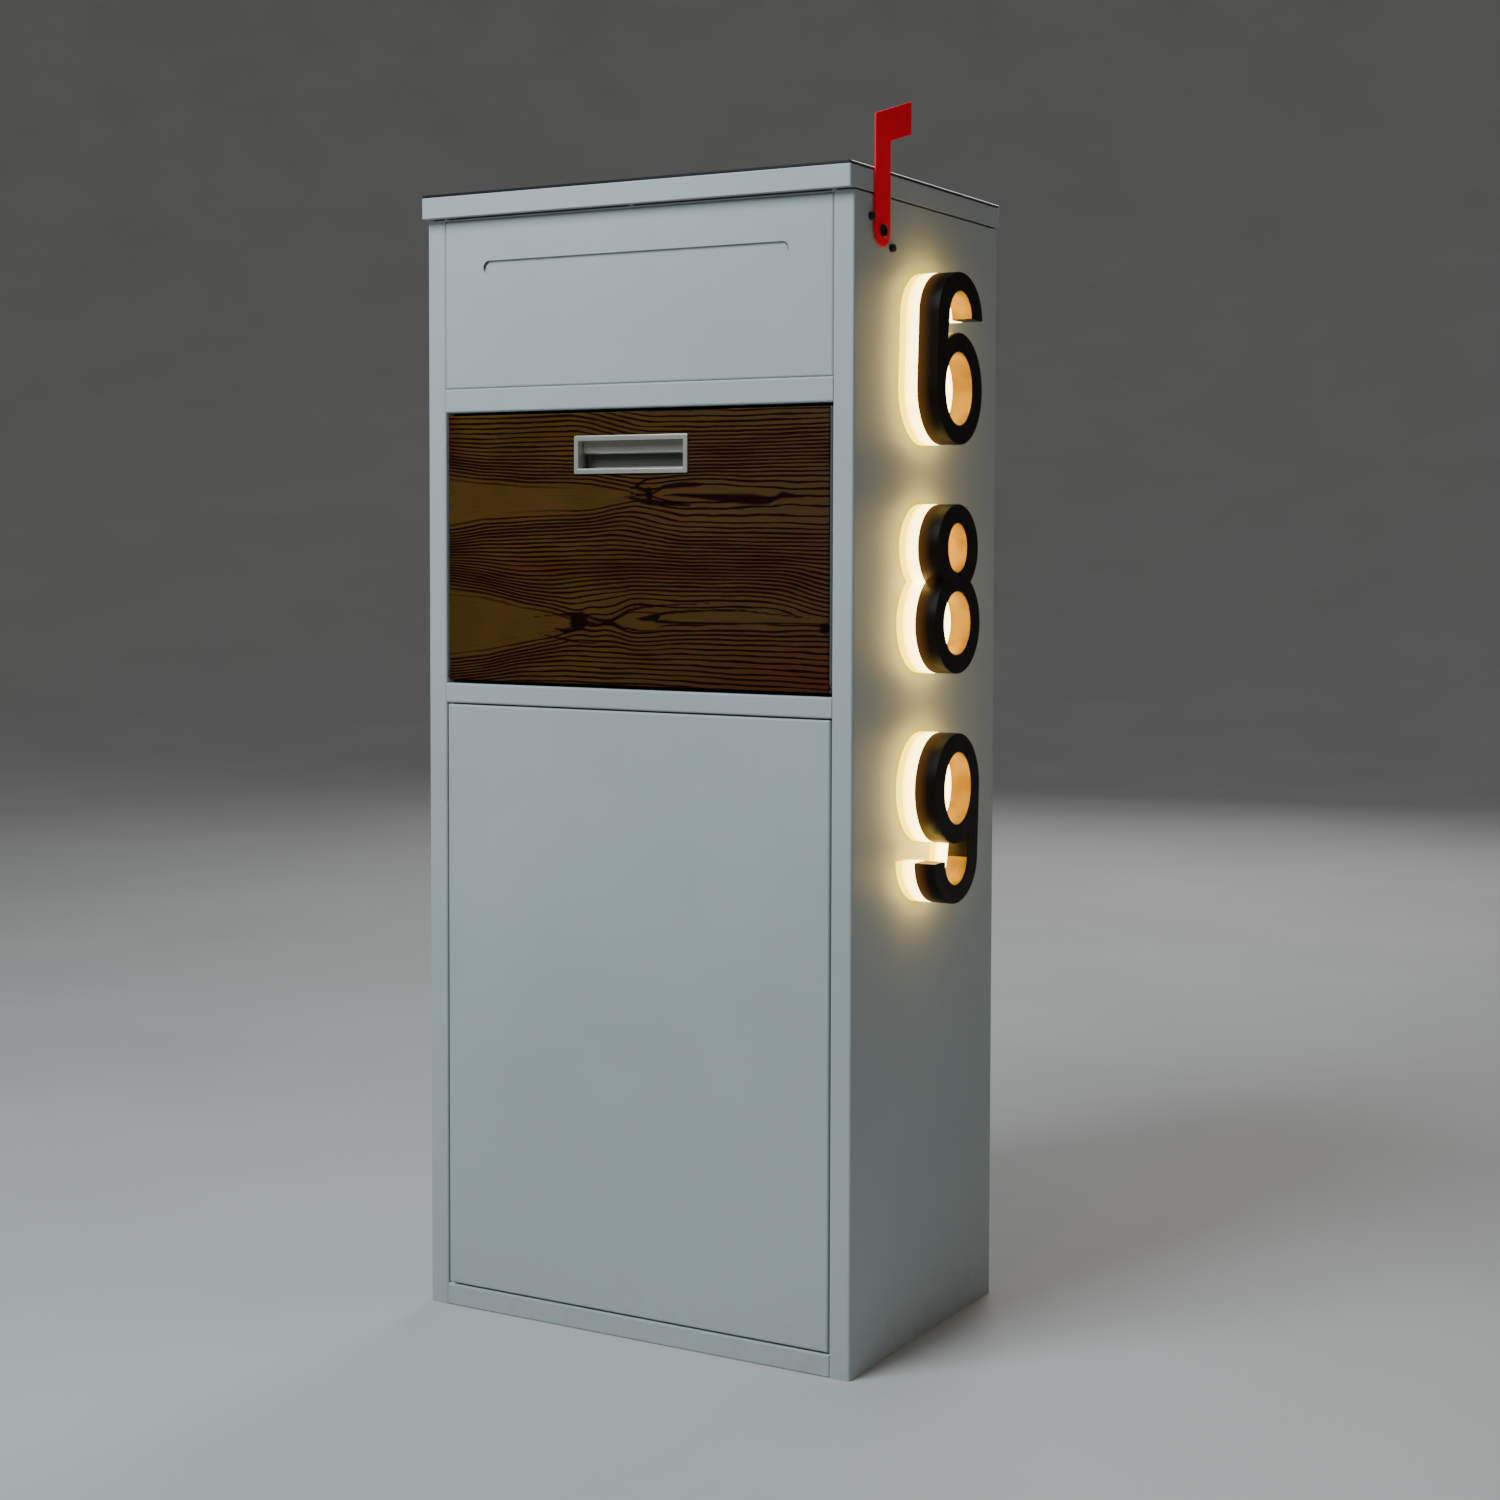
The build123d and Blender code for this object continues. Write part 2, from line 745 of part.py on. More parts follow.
with BuildPart() as hopper_bushes:
    for side in (-1, 1):
        with BuildSketch(Plane.YZ.offset(side * hopper_x)):
            with Locations((hopper_pivot_y, hopper_pivot_z)):
                Circle(hopper_pin_radius + bush_wall)
                Circle(hopper_pin_radius + running, mode=Mode.SUBTRACT)
        extrude(amount=side * (hopper_side_gap - 3 * loose))
hopper_bushes.part.label = "hopper_bushes"
export_step(hopper_bushes.part, "parts/hopper_bushes.step")

with BuildPart() as hopper_pins:
    for side in (-1, 1):
        with BuildSketch(Plane.YZ.offset(side * (cheek_x - 2))):
            with Locations((hopper_pivot_y, hopper_pivot_z)):
                Circle(hopper_pin_radius)
        extrude(amount=side * (opening + sheet + 1 - cheek_x + 2))
        with BuildSketch(Plane.YZ.offset(side * (opening + sheet))):
            with Locations((hopper_pivot_y, hopper_pivot_z)):
                Circle(hopper_pin_radius + 1.8)
        extrude(amount=side * 2)
hopper_pins.part.label = "hopper_pins"
export_step(hopper_pins.part, "parts/hopper_pins.step")

stop_y = skin_y + hopper_flange + 2 * loose
with BuildPart() as hopper_stops:
    for x in (-opening / 2, opening / 2):
        with BuildSketch(Plane.YZ.offset(x - stop_tab_width / 2)):
            with BuildLine():
                Polyline(
                    (stop_y, hopper_top - stop_tab_height),
                    (stop_y + sheet, hopper_top - stop_tab_height),
                    (stop_y + sheet, hopper_top - sheet),
                    (front + rail_depth, hopper_top - sheet),
                    (front + rail_depth, hopper_top),
                    (stop_y, hopper_top),
                    close=True,
                )
            make_face()
        extrude(amount=stop_tab_width)
hopper_stops.part.label = "hopper_stops"
export_step(hopper_stops.part, "parts/hopper_stops.step")

# Flush pull: a rimmed cup with a hood over the upper half of its mouth
with BuildPart() as pull_cup:
    with BuildSketch(facing(face_y)):
        with Locations((0, pull_z)):
            RectangleRounded(pull_width, pull_height, pull_corner)
    extrude(amount=pull_proud)
    fillet(pull_cup.edges().group_by(Axis.Y)[0], radius=0.8)
    with BuildSketch(facing(face_y)):
        with Locations((0, pull_z)):
            Rectangle(cup_x, cup_z)
    extrude(amount=-pull_depth)
    with BuildSketch(facing(face_y - pull_proud)):
        with Locations((0, pull_z)):
            Rectangle(pan_x, pan_z)
    extrude(amount=-(pull_depth + pull_proud - pull_wall), mode=Mode.SUBTRACT)
pull_cup.part.label = "pull_cup"
export_step(pull_cup.part, "parts/pull_cup.step")

with BuildPart() as pull_hood:
    with BuildSketch(facing(face_y - pull_proud + hood_setback)):
        with Locations((0, pull_z + pan_z / 4)):
            Rectangle(pan_x, pan_z / 2)
    extrude(amount=-pull_wall)
pull_hood.part.label = "pull_hood"
export_step(pull_hood.part, "parts/pull_hood.step")

# Lower door on two hidden pivot pins
door_x = opening - door_gap
door_low = bottom_rail_height + door_gap
door_high = middle_rail_bottom - door_gap
door_pivot = (-door_x + door_pivot_inset, front + door_pivot_inset)

with BuildPart() as lower_door_panel:
    add(tray(door_x, door_low, door_high, front, door_flange))
    with BuildSketch(Plane.XY.offset(door_low)):
        with Locations(door_pivot):
            Circle(door_pin_radius + running)
    extrude(amount=sheet, mode=Mode.SUBTRACT)
    with BuildSketch(Plane.XY.offset(door_high)):
        with Locations(door_pivot):
            Circle(door_pin_radius + running)
    extrude(amount=-sheet, mode=Mode.SUBTRACT)
lower_door_panel.part.label = "lower_door_panel"
export_step(lower_door_panel.part, "parts/lower_door_panel.step")

stiffener_foot_y = front + 2 * sheet
stiffener_top_y = front + sheet + stiffener_depth
stiffener_line = [
    (-stiffener_width / 2, stiffener_foot_y),
    (-stiffener_crown / 2, stiffener_foot_y),
    (-stiffener_crown / 2, stiffener_top_y),
    (stiffener_crown / 2, stiffener_top_y),
    (stiffener_crown / 2, stiffener_foot_y),
    (stiffener_width / 2, stiffener_foot_y),
]
with BuildPart() as lower_door_stiffener:
    with BuildSketch(Plane.XY.offset(door_low + stiffener_short)):
        add(folded(stiffener_line, Side.RIGHT))
    extrude(amount=door_high - door_low - 2 * stiffener_short)
lower_door_stiffener.part.label = "lower_door_stiffener"
export_step(lower_door_stiffener.part, "parts/lower_door_stiffener.step")

with BuildPart() as lower_door_pins:
    with BuildSketch(Plane.XY.offset(bottom_rail_height - sheet - 1)):
        with Locations(door_pivot):
            Circle(door_pin_radius)
    extrude(amount=door_pin_length)
    with BuildSketch(Plane.XY.offset(middle_rail_bottom + sheet + 1)):
        with Locations(door_pivot):
            Circle(door_pin_radius)
    extrude(amount=-door_pin_length)
lower_door_pins.part.label = "lower_door_pins"
export_step(lower_door_pins.part, "parts/lower_door_pins.step")

with BuildPart() as lower_door_washer:
    with BuildSketch(Plane.XY.offset(bottom_rail_height)):
        with Locations(door_pivot):
            Circle(door_pin_radius + washer_wall)
            Circle(door_pin_radius + running, mode=Mode.SUBTRACT)
    extrude(amount=door_gap - loose)
lower_door_washer.part.label = "lower_door_washer"
export_step(lower_door_washer.part, "parts/lower_door_washer.step")

# Touch latch behind the free edge of the lower door
latch_x = opening - latch_width / 2
latch_front = front + door_flange + plunger_travel + 2
with BuildPart() as latch_housing:
    with BuildSketch(facing(latch_front)):
        with Locations((latch_x, latch_height)):
            Rectangle(latch_width, latch_body)
            Circle(plunger_radius + loose, mode=Mode.SUBTRACT)
    extrude(amount=-latch_length)
    with BuildSketch(Plane.XY.offset(latch_height - latch_body / 2)):
        with Locations(((opening + inner) / 2, latch_front + latch_length / 2)):
            Rectangle(inner - opening, latch_length - 10)
    extrude(amount=latch_foot)
    with BuildSketch(Plane.YZ.offset(inner)):
        with Locations((latch_front + latch_length / 2, latch_height)):
            Rectangle(latch_length - 10, latch_body)
    extrude(amount=-latch_foot)
latch_housing.part.label = "latch_housing"
export_step(latch_housing.part, "parts/latch_housing.step")

strike_y = front + sheet
with BuildPart() as latch_plunger:
    with BuildSketch(facing(strike_y + strike_thickness + loose)):
        with Locations((latch_x, latch_height)):
            Circle(plunger_radius)
    extrude(amount=-(latch_front - strike_y - strike_thickness + latch_length / 2))
latch_plunger.part.label = "latch_plunger"
export_step(latch_plunger.part, "parts/latch_plunger.step")

with BuildPart() as latch_strike:
    with BuildSketch(facing(strike_y)):
        with Locations((door_x - bend - strike_width / 2 - 0.5, latch_height)):
            Rectangle(strike_width, strike_height)
    extrude(amount=-strike_thickness)
latch_strike.part.label = "latch_strike"
export_step(latch_strike.part, "parts/latch_strike.step")

# Flag, its screw, spacer, nut and stops
flag_x = half + flag_standoff
with BuildPart() as flag:
    with BuildSketch(Plane.YZ.offset(flag_x)):
        with BuildLine():
            Polyline(
                (flag_y + flag_foot, flag_z),
                (flag_y + flag_foot, flag_z + flag_neck),
                (flag_y + flag_tip, flag_z + flag_tip_low),
                (flag_y + flag_tip, flag_z + flag_tip_high),
                (flag_y - flag_foot, flag_z + flag_top),
                (flag_y - flag_foot, flag_z),
            )
            ThreePointArc(
                (flag_y - flag_foot, flag_z),
                (flag_y, flag_z - flag_foot),
                (flag_y + flag_foot, flag_z),
            )
        make_face()
        with Locations((flag_y, flag_z)):
            Circle(flag_screw_radius + running, mode=Mode.SUBTRACT)
    extrude(amount=flag_plate)
flag.part.label = "flag"
export_step(flag.part, "parts/flag.step")

head_x = flag_x + flag_plate + loose
with BuildPart() as flag_screw:
    with BuildSketch(Plane.YZ.offset(half - sheet - 5)):
        with Locations((flag_y, flag_z)):
            Circle(flag_screw_radius)
    extrude(amount=head_x - half + sheet + 5)
    with BuildSketch(Plane.YZ.offset(head_x)):
        with Locations((flag_y, flag_z)):
            Circle(flag_head_radius)
    extrude(amount=flag_head_height)
    fillet(flag_screw.edges().group_by(Axis.X)[-1], radius=1.6)
flag_screw.part.label = "flag_screw"
export_step(flag_screw.part, "parts/flag_screw.step")

with BuildPart() as flag_spacer:
    with BuildSketch(Plane.YZ.offset(half)):
        with Locations((flag_y, flag_z)):
            Circle(flag_spacer_radius)
            Circle(flag_screw_radius + running, mode=Mode.SUBTRACT)
    extrude(amount=flag_standoff - loose)
flag_spacer.part.label = "flag_spacer"
export_step(flag_spacer.part, "parts/flag_spacer.step")

with BuildPart() as flag_nut:
    with BuildSketch(Plane.YZ.offset(inner)):
        with Locations((flag_y, flag_z)):
            RegularPolygon(flag_nut_radius, 6)
            Circle(flag_screw_radius + running, mode=Mode.SUBTRACT)
    extrude(amount=-flag_nut_height)
flag_nut.part.label = "flag_nut"
export_step(flag_nut.part, "parts/flag_nut.step")

with BuildPart() as flag_stops:
    with BuildSketch(Plane.YZ.offset(half)):
        with Locations(*stop_places):
            Circle(flag_stop_radius)
    extrude(amount=flag_standoff + flag_plate + flag_stop_proud)
    fillet(flag_stops.edges().group_by(Axis.X)[-1], radius=0.8)
flag_stops.part.label = "flag_stops"
export_step(flag_stops.part, "parts/flag_stops.step")

# Numerals: clear backer on the panel, lit diffuser, black metal shell
diffuser_x = half + backer
shell_x = diffuser_x + diffuser
for name, figure in figures.items():
    with BuildPart() as numeral_backer:
        with BuildSketch(Plane.YZ.offset(half)):
            with Locations((numeral_y, numeral_z[name])):
                add(figure())
                with Locations(*stud_places[name]):
                    Circle(stud_radius + running, mode=Mode.SUBTRACT)
        extrude(amount=backer)
    numeral_backer.part.label = f"numeral_{name}_backer"
    export_step(numeral_backer.part, f"parts/numeral_{name}_backer.step")

    with BuildPart() as numeral_diffuser:
        with BuildSketch(Plane.YZ.offset(diffuser_x)):
            with Locations((numeral_y, numeral_z[name])):
                add(figure())
        extrude(amount=diffuser)
    numeral_diffuser.part.label = f"numeral_{name}_diffuser"
    export_step(numeral_diffuser.part, f"parts/numeral_{name}_diffuser.step")

    with BuildPart() as numeral_shell:
        with BuildSketch(Plane.YZ.offset(shell_x)):
            with Locations((numeral_y, numeral_z[name])):
                add(figure())
        extrude(amount=shell_depth)
        with BuildSketch(Plane.YZ.offset(shell_x)):
            with Locations((numeral_y, numeral_z[name])):
                add(figure(shell_wall))
        extrude(amount=shell_depth - shell_wall, mode=Mode.SUBTRACT)
    numeral_shell.part.label = f"numeral_{name}_shell"
    export_step(numeral_shell.part, f"parts/numeral_{name}_shell.step")

with BuildPart() as numeral_leds:
    with BuildSketch(Plane.YZ.offset(shell_x)):
        for name, places in led_places.items():
            with Locations((numeral_y, numeral_z[name])):
                with Locations(*places):
                    Rectangle(led_width, led_height)
    extrude(amount=led_thickness)
numeral_leds.part.label = "numeral_leds"
export_step(numeral_leds.part, "parts/numeral_leds.step")

with BuildPart() as numeral_studs:
    with BuildSketch(Plane.YZ.offset(diffuser_x)):
        for name, places in stud_places.items():
            with Locations((numeral_y, numeral_z[name])):
                with Locations(*places):
                    Circle(stud_radius)
    extrude(amount=-(backer + sheet + 6))
numeral_studs.part.label = "numeral_studs"
export_step(numeral_studs.part, "parts/numeral_studs.step")

with BuildPart() as numeral_nuts:
    with BuildSketch(Plane.YZ.offset(inner)):
        for name, places in stud_places.items():
            with Locations((numeral_y, numeral_z[name])):
                with Locations(*places):
                    RegularPolygon(stud_nut_radius, 6)
                    Circle(stud_radius + running, mode=Mode.SUBTRACT)
    extrude(amount=-stud_nut_height)
numeral_nuts.part.label = "numeral_nuts"
export_step(numeral_nuts.part, "parts/numeral_nuts.step")

# Battery box inside the right side panel
battery_y = rear - battery_from_rear
battery_z = wall_top - battery_below_top
with BuildPart() as battery_box:
    with BuildSketch(Plane.YZ.offset(inner)):
        with Locations((battery_y, battery_z)):
            RectangleRounded(battery_width, battery_height, 2 * battery_wall)
    extrude(amount=-battery_depth)
    offset(amount=-battery_wall, openings=battery_box.faces().sort_by(Axis.X)[0])
battery_box.part.label = "battery_box"
export_step(battery_box.part, "parts/battery_box.step")

with BuildPart() as battery_cover:
    with BuildSketch(Plane.YZ.offset(inner - battery_depth)):
        with Locations((battery_y, battery_z)):
            RectangleRounded(battery_width, battery_height, 2 * battery_wall)
    extrude(amount=-battery_wall)
    fillet(battery_cover.edges().group_by(Axis.X)[0], radius=1)
battery_cover.part.label = "battery_cover"
export_step(battery_cover.part, "parts/battery_cover.step")

rivet_x = half - rear_flange / 2 - 0.5
rivet_step = (frame_bottom - 2 * rivet_end) / (rivet_rows - 1)
with BuildPart() as back_rivets:
    with BuildSketch(facing(rear)):
        with Locations((0, frame_bottom / 2)):
            with GridLocations(2 * rivet_x, rivet_step, 2, rivet_rows):
                Circle(rivet_radius)
    extrude(amount=-rivet_height)
    fillet(back_rivets.edges().group_by(Axis.Y)[-1], radius=0.8)
back_rivets.part.label = "back_rivets"
export_step(back_rivets.part, "parts/back_rivets.step")

print("hopper pivot", hopper_pivot_y, hopper_pivot_z)
print("lid hinge", hinge_y, hinge_z)
print("flap pivot", flap_y, flap_z)
print("lower door pivot", *door_pivot)
print("latch", latch_x, latch_height)
print("flag pivot", flag_y, flag_z)
print("bumper", bumper_y, bumper_z, "at", degrees(bumper_angle))
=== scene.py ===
# %% [markdown]
# # A parcel box with a letter slot, a flag and lit numerals
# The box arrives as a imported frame: every sheet-metal part is already where it belongs, in metres,
# with X to the right, Y to the rear and Z up. This lesson gives each part its finish, and makes the
# small pressed, turned and moulded pieces whose roundness the frame leaves out.

# %% Load the frame
import json
from math import pi, radians

import bpy
import numpy as np
from mathutils import Matrix, Vector


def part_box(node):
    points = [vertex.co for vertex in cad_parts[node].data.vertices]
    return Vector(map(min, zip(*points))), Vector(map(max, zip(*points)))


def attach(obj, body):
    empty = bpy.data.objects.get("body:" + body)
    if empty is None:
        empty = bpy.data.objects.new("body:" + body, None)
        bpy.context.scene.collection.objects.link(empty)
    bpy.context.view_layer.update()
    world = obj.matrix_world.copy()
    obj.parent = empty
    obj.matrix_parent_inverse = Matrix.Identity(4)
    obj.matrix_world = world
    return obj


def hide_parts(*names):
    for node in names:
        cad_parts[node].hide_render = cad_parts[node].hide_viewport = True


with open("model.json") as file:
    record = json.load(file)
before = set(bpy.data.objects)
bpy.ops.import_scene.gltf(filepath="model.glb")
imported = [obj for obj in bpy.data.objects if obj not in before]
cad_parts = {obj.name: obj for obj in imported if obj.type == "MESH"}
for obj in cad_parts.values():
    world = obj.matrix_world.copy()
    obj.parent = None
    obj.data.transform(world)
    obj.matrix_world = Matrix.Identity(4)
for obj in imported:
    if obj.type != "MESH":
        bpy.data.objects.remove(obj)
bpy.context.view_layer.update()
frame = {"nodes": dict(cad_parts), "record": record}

MM = 0.001

# %% [markdown]
# ## Camera
# A tall box seen from its front right corner needs a fairly long lens, so that its upright edges
# stay nearly parallel. The lens is shifted a little sideways and down instead of turning the camera
# further, as an architect's camera would be.

# %% Camera
camera = bpy.data.objects.new("camera", bpy.data.cameras.new("camera"))
bpy.context.scene.collection.objects.link(camera)
camera.data.sensor_width = 36.0
camera.data.lens = 56.15
camera.data.shift_x, camera.data.shift_y = -0.0857, -0.0633
camera_place = (1.1713, -1.8679, 0.7087)
camera_turn, camera_tilt, camera_roll = 28.065, -2.517, 0.293
camera.matrix_world = (
    Matrix.Translation(camera_place)
    @ Matrix.Rotation(radians(camera_turn), 4, "Z")
    @ Matrix.Rotation(radians(90 + camera_tilt), 4, "X")
    @ Matrix.Rotation(radians(camera_roll), 4, "Z")
)
bpy.context.scene.camera = camera
print("camera at", camera_place, "lens", camera.data.lens, "mm")

# %% [markdown]
# ## Light
# A broad lamp high in front and to the left lights the doors evenly, a little more at the top than
# at the bottom. The right-hand side falls into soft shade, where the glow round the numerals can
# be seen. A weak lamp on that side and one behind keep the other views from going dark.


# %% Lamps and sky
def lamp(name, place, aim, size, power, tint):
    """A square area lamp at a place, turned towards a point."""
    light = bpy.data.lights.new(name, "AREA")
    light.size, light.energy, light.color = size, power, tint
    holder = bpy.data.objects.new(name, light)
    holder.location = place
    holder.rotation_euler = (Vector(aim) - Vector(place)).to_track_quat("-Z", "Y").to_euler()
    bpy.context.scene.collection.objects.link(holder)
    print(name, "of", power, "watts")


lamp("front_lamp", (-0.5, -1.6, 2.4), (0, 0, 0.85), 1.2, 63, (0.81, 0.955, 1.0))
lamp("side_lamp", (3.4, 0.4, 2.2), (0.2, 0, 0.6), 1.8, 3, (1.0, 0.93, 0.85))
lamp("back_lamp", (-0.8, 3.4, 2.4), (0, 0, 0.6), 1.8, 42, (1.0, 1.0, 1.0))

world = bpy.data.worlds.new("studio")
bpy.context.scene.world = world
world.use_nodes = True
sky = world.node_tree.nodes["Background"]
sky.inputs["Color"].default_value = (0.96, 0.95, 0.93, 1)
sky.inputs["Strength"].default_value = 0.175

# %% [markdown]
# ## Building a finish
# A finish is a small graph of shader nodes. The helper below adds a node, sets its values and joins
# its inputs in one call, so each recipe later reads as a list of what the surface is made of. Every
# pattern is laid out in object coordinates, which are metres here.


# %% A helper that builds node graphs
class Finish:
    """A material being made: a principled shader and the nodes that feed it."""

    def __init__(self, name, **constants):
        self.material = bpy.data.materials.new(name)
        self.material.use_nodes = True
        self.tree = self.material.node_tree
        self.shader = self.tree.nodes["Principled BSDF"]
        self.place = self.node("TexCoord")["Object"]
        self.set(**constants)
        print("finish", name)

    def set(self, **constants):
        """Sets or joins the shader's own sockets, named with underscores for spaces."""
        for key, value in constants.items():
            self.join(self.shader.inputs[key.replace("_", " ")], value)

    def join(self, socket, value):
        """Joins a socket to another socket, or gives it a constant."""
        if isinstance(value, bpy.types.NodeSocket):
            self.tree.links.new(value, socket)
        else:
            socket.default_value = value

    def node(self, kind, ins=None, **settings):
        """Adds a node and returns its outputs; ins maps input names or numbers to values."""
        made = self.tree.nodes.new("ShaderNode" + kind)
        for key, value in settings.items():
            setattr(made, key, value)
        for key, value in (ins or {}).items():
            self.join(made.inputs[key], value)
        return made.outputs

    def noise(self, size, detail=2.0, where=None, roughness=0.5):
        """Noise whose lumps are about size metres across, from 0 to 1."""
        return self.node(
            "TexNoise",
            {"Vector": where or self.place, "Scale": 1 / size, "Detail": detail, "Roughness": roughness},
        )["Fac"]

    def stretched(self, size_x, size_y, size_z):
        """Object coordinates divided by a size along each axis, for streaks."""
        scale = (1 / size_x, 1 / size_y, 1 / size_z)
        return self.node("Mapping", {"Vector": self.place, "Scale": scale})["Vector"]

    def axis(self, letter):
        """How far along X, Y or Z a point lies, in metres."""
        return self.node("SeparateXYZ", {"Vector": self.place})[letter]

    def math(self, operation, first, second=0.0, third=0.0):
        """One step of arithmetic on up to three values."""
        return self.node("Math", {0: first, 1: second, 2: third}, operation=operation)["Value"]

    def between(self, value, low, high, to_low=0.0, to_high=1.0):
        """Stretches a range of values to another range, smoothly and clamped."""
        return self.node(
            "MapRange",
            {"Value": value, "From Min": low, "From Max": high, "To Min": to_low, "To Max": to_high},
            interpolation_type="SMOOTHSTEP",
        )["Result"]

    def times(self, first, second):
        """Two values multiplied."""
        return self.math("MULTIPLY", first, second)

    def blend(self, amount, first, second):
        """Mixes two colours: the first where amount is 0, the second where it is 1."""
        return self.node("Mix", {0: amount, 6: first, 7: second}, data_type="RGBA")[2]

    def bump(self, height, depth, onto=None):
        """Turns a height into a surface normal; depth is in metres."""
        ins = {"Height": height, "Distance": depth, "Strength": 1.0}
        if onto is not None:
            ins["Normal"] = onto
        return self.node("Bump", ins)["Normal"]


def rgb(red, green, blue):
    """A colour with full cover."""
    return (red, green, blue, 1.0)


def shade(tint, share):
    """A tint made darker or lighter all over."""
    return rgb(*[share * channel for channel in tint])


# %% [markdown]
# ## Powder coat
# The cabinet is steel with a light grey powder coat. Powder melts into a film that is never quite
# flat: a fine orange peel about a millimetre across breaks up its soft gloss. Faint cloudiness and
# some dust near the ground keep large panels from looking printed. The letter flap has the same
# coat, with painted shade: a thin dark line inside the ends of the slot, the shadow of its rim.


# %% Powder coat recipe
dusty_height = 0.09


def powder_coat(name, tint, roughness, painted_shade=None):
    """Satin powder coat: clouded tint, orange peel, dust low down, and painted shade where a mask puts it.
    """
    finish = Finish(name, Specular_IOR_Level=0.2)
    clouds = finish.between(finish.noise(0.22, 3.0), 0.3, 0.7)
    colour = finish.blend(clouds, shade(tint, 0.93), rgb(*tint))
    low_down = finish.between(finish.axis("Z"), dusty_height, 0.0)
    patchy = finish.between(finish.noise(0.012, 5.0), 0.35, 0.75, 0.03, 0.2)
    colour = finish.blend(finish.times(low_down, patchy), colour, rgb(0.3, 0.27, 0.22))
    if painted_shade:
        # Painted shade: blends towards near-black where the mask says, standing in for shadow
        colour = finish.blend(painted_shade(finish), colour, rgb(0.03, 0.035, 0.038))
    specks = finish.between(finish.noise(1.1 * MM, 2.0), 0.66, 0.76, 0.0, 0.16)
    finish.set(Base_Color=finish.blend(specks, colour, rgb(0.75, 0.77, 0.77)))
    gloss = finish.noise(0.05, 4.0)
    finish.set(Roughness=finish.between(gloss, 0.3, 0.7, roughness - 0.05, roughness + 0.06))
    peel = finish.bump(finish.noise(1.4 * MM, 3.0), 0.06 * MM)
    finish.set(Normal=finish.bump(finish.noise(0.09, 1.0), 0.6 * MM, peel))
    return finish.material


def slot_end_painted_shade(finish):
    """Painted shade: a thin dark line inside the round ends of the slot, the shadow of its rim; a band of
    the distance from the end's centre.
    """
    flap_low, flap_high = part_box("letter_flap")
    radius, lap, end_play = 6.35 * MM, 6.0 * MM, 4.0 * MM
    straight = flap_high[0] - end_play - radius
    sideways = finish.math("ABSOLUTE", finish.axis("X"))
    past = finish.math("MAXIMUM", finish.math("SUBTRACT", sideways, straight), 0.0)
    up = finish.math("SUBTRACT", finish.axis("Z"), flap_low[2] + lap + radius)
    away = finish.math("SQRT", finish.math("ADD", finish.times(past, past), finish.times(up, up)))
    line = finish.between(away, radius - 2.4 * MM, radius - 1.9 * MM)
    ends = finish.times(finish.between(past, 0.0, 3 * MM), finish.between(up, -3 * MM, 0.0))
    return finish.times(finish.times(line, ends), 0.75)


grey_tint = (0.49, 0.535, 0.54)
grey_coat = powder_coat("powder_grey", grey_tint, 0.42)
# The flap's coat carries painted shade, a dark line at the ends of the slot
flap_coat = powder_coat("powder_grey_flap", grey_tint, 0.42, slot_end_painted_shade)

# %% [markdown]
# ## Bare metals
# Three metals show. Inside, galvanised sheet has leafy zinc crystals, called spangle. Hinges and
# pins are bright zinc plate. The pull is satin nickel, brushed along its length, so its highlights
# are drawn out in short streaks.


# %% Metal recipes
def spangle_sheet():
    """Galvanised sheet: flat crystals of slightly different grey."""
    finish = Finish("galvanised", Metallic=1.0)
    per_metre = 90.0
    crystals = finish.node("TexVoronoi", {"Vector": finish.place, "Scale": per_metre})["Color"]
    tone = finish.node("SeparateColor", {"Color": crystals})["Red"]
    finish.set(Base_Color=finish.blend(tone, rgb(0.42, 0.44, 0.46), rgb(0.62, 0.64, 0.65)))
    finish.set(Roughness=finish.between(tone, 0.0, 1.0, 0.34, 0.55))
    finish.set(Normal=finish.bump(finish.noise(3 * MM, 3.0), 0.05 * MM))
    return finish.material


def plated_steel(name, tint, roughness):
    """Zinc or black plate with fine handling scratches."""
    finish = Finish(name, Metallic=1.0)
    wear = finish.between(finish.noise(6 * MM, 6.0), 0.45, 0.75)
    finish.set(Base_Color=finish.blend(wear, rgb(*tint), shade(tint, 0.75)))
    finish.set(Roughness=finish.between(wear, 0.0, 1.0, roughness, roughness + 0.18))
    finish.set(Normal=finish.bump(finish.noise(0.9 * MM, 4.0), 0.03 * MM))
    return finish.material


def brushed_nickel():
    """Satin nickel brushed along X, with painted shade darkening it deep in the cup."""
    finish = Finish("satin_silver", Metallic=0.6, Anisotropic=0.35)
    streaks = finish.noise(1.0, 4.0, finish.stretched(30 * MM, 0.4 * MM, 0.4 * MM))
    smudge = finish.noise(0.02, 3.0)
    tint = finish.blend(smudge, rgb(0.58, 0.55, 0.48), rgb(0.68, 0.65, 0.57))
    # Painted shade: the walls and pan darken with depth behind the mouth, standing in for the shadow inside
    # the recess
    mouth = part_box("pull_cup")[0][1]
    deep = finish.between(finish.axis("Y"), mouth + 4.0 * MM, mouth + 13.5 * MM)
    finish.set(Base_Color=finish.blend(deep, tint, rgb(0.14, 0.142, 0.125)))
    finish.set(Roughness=finish.between(streaks, 0.25, 0.75, 0.26, 0.42))
    finish.set(Normal=finish.bump(streaks, 0.02 * MM))
    return finish.material


galvanised = spangle_sheet()
zinc = plated_steel("zinc_steel", (0.66, 0.66, 0.62), 0.3)
black_screw = plated_steel("screw_black", (0.035, 0.034, 0.036), 0.34)
nickel = brushed_nickel()
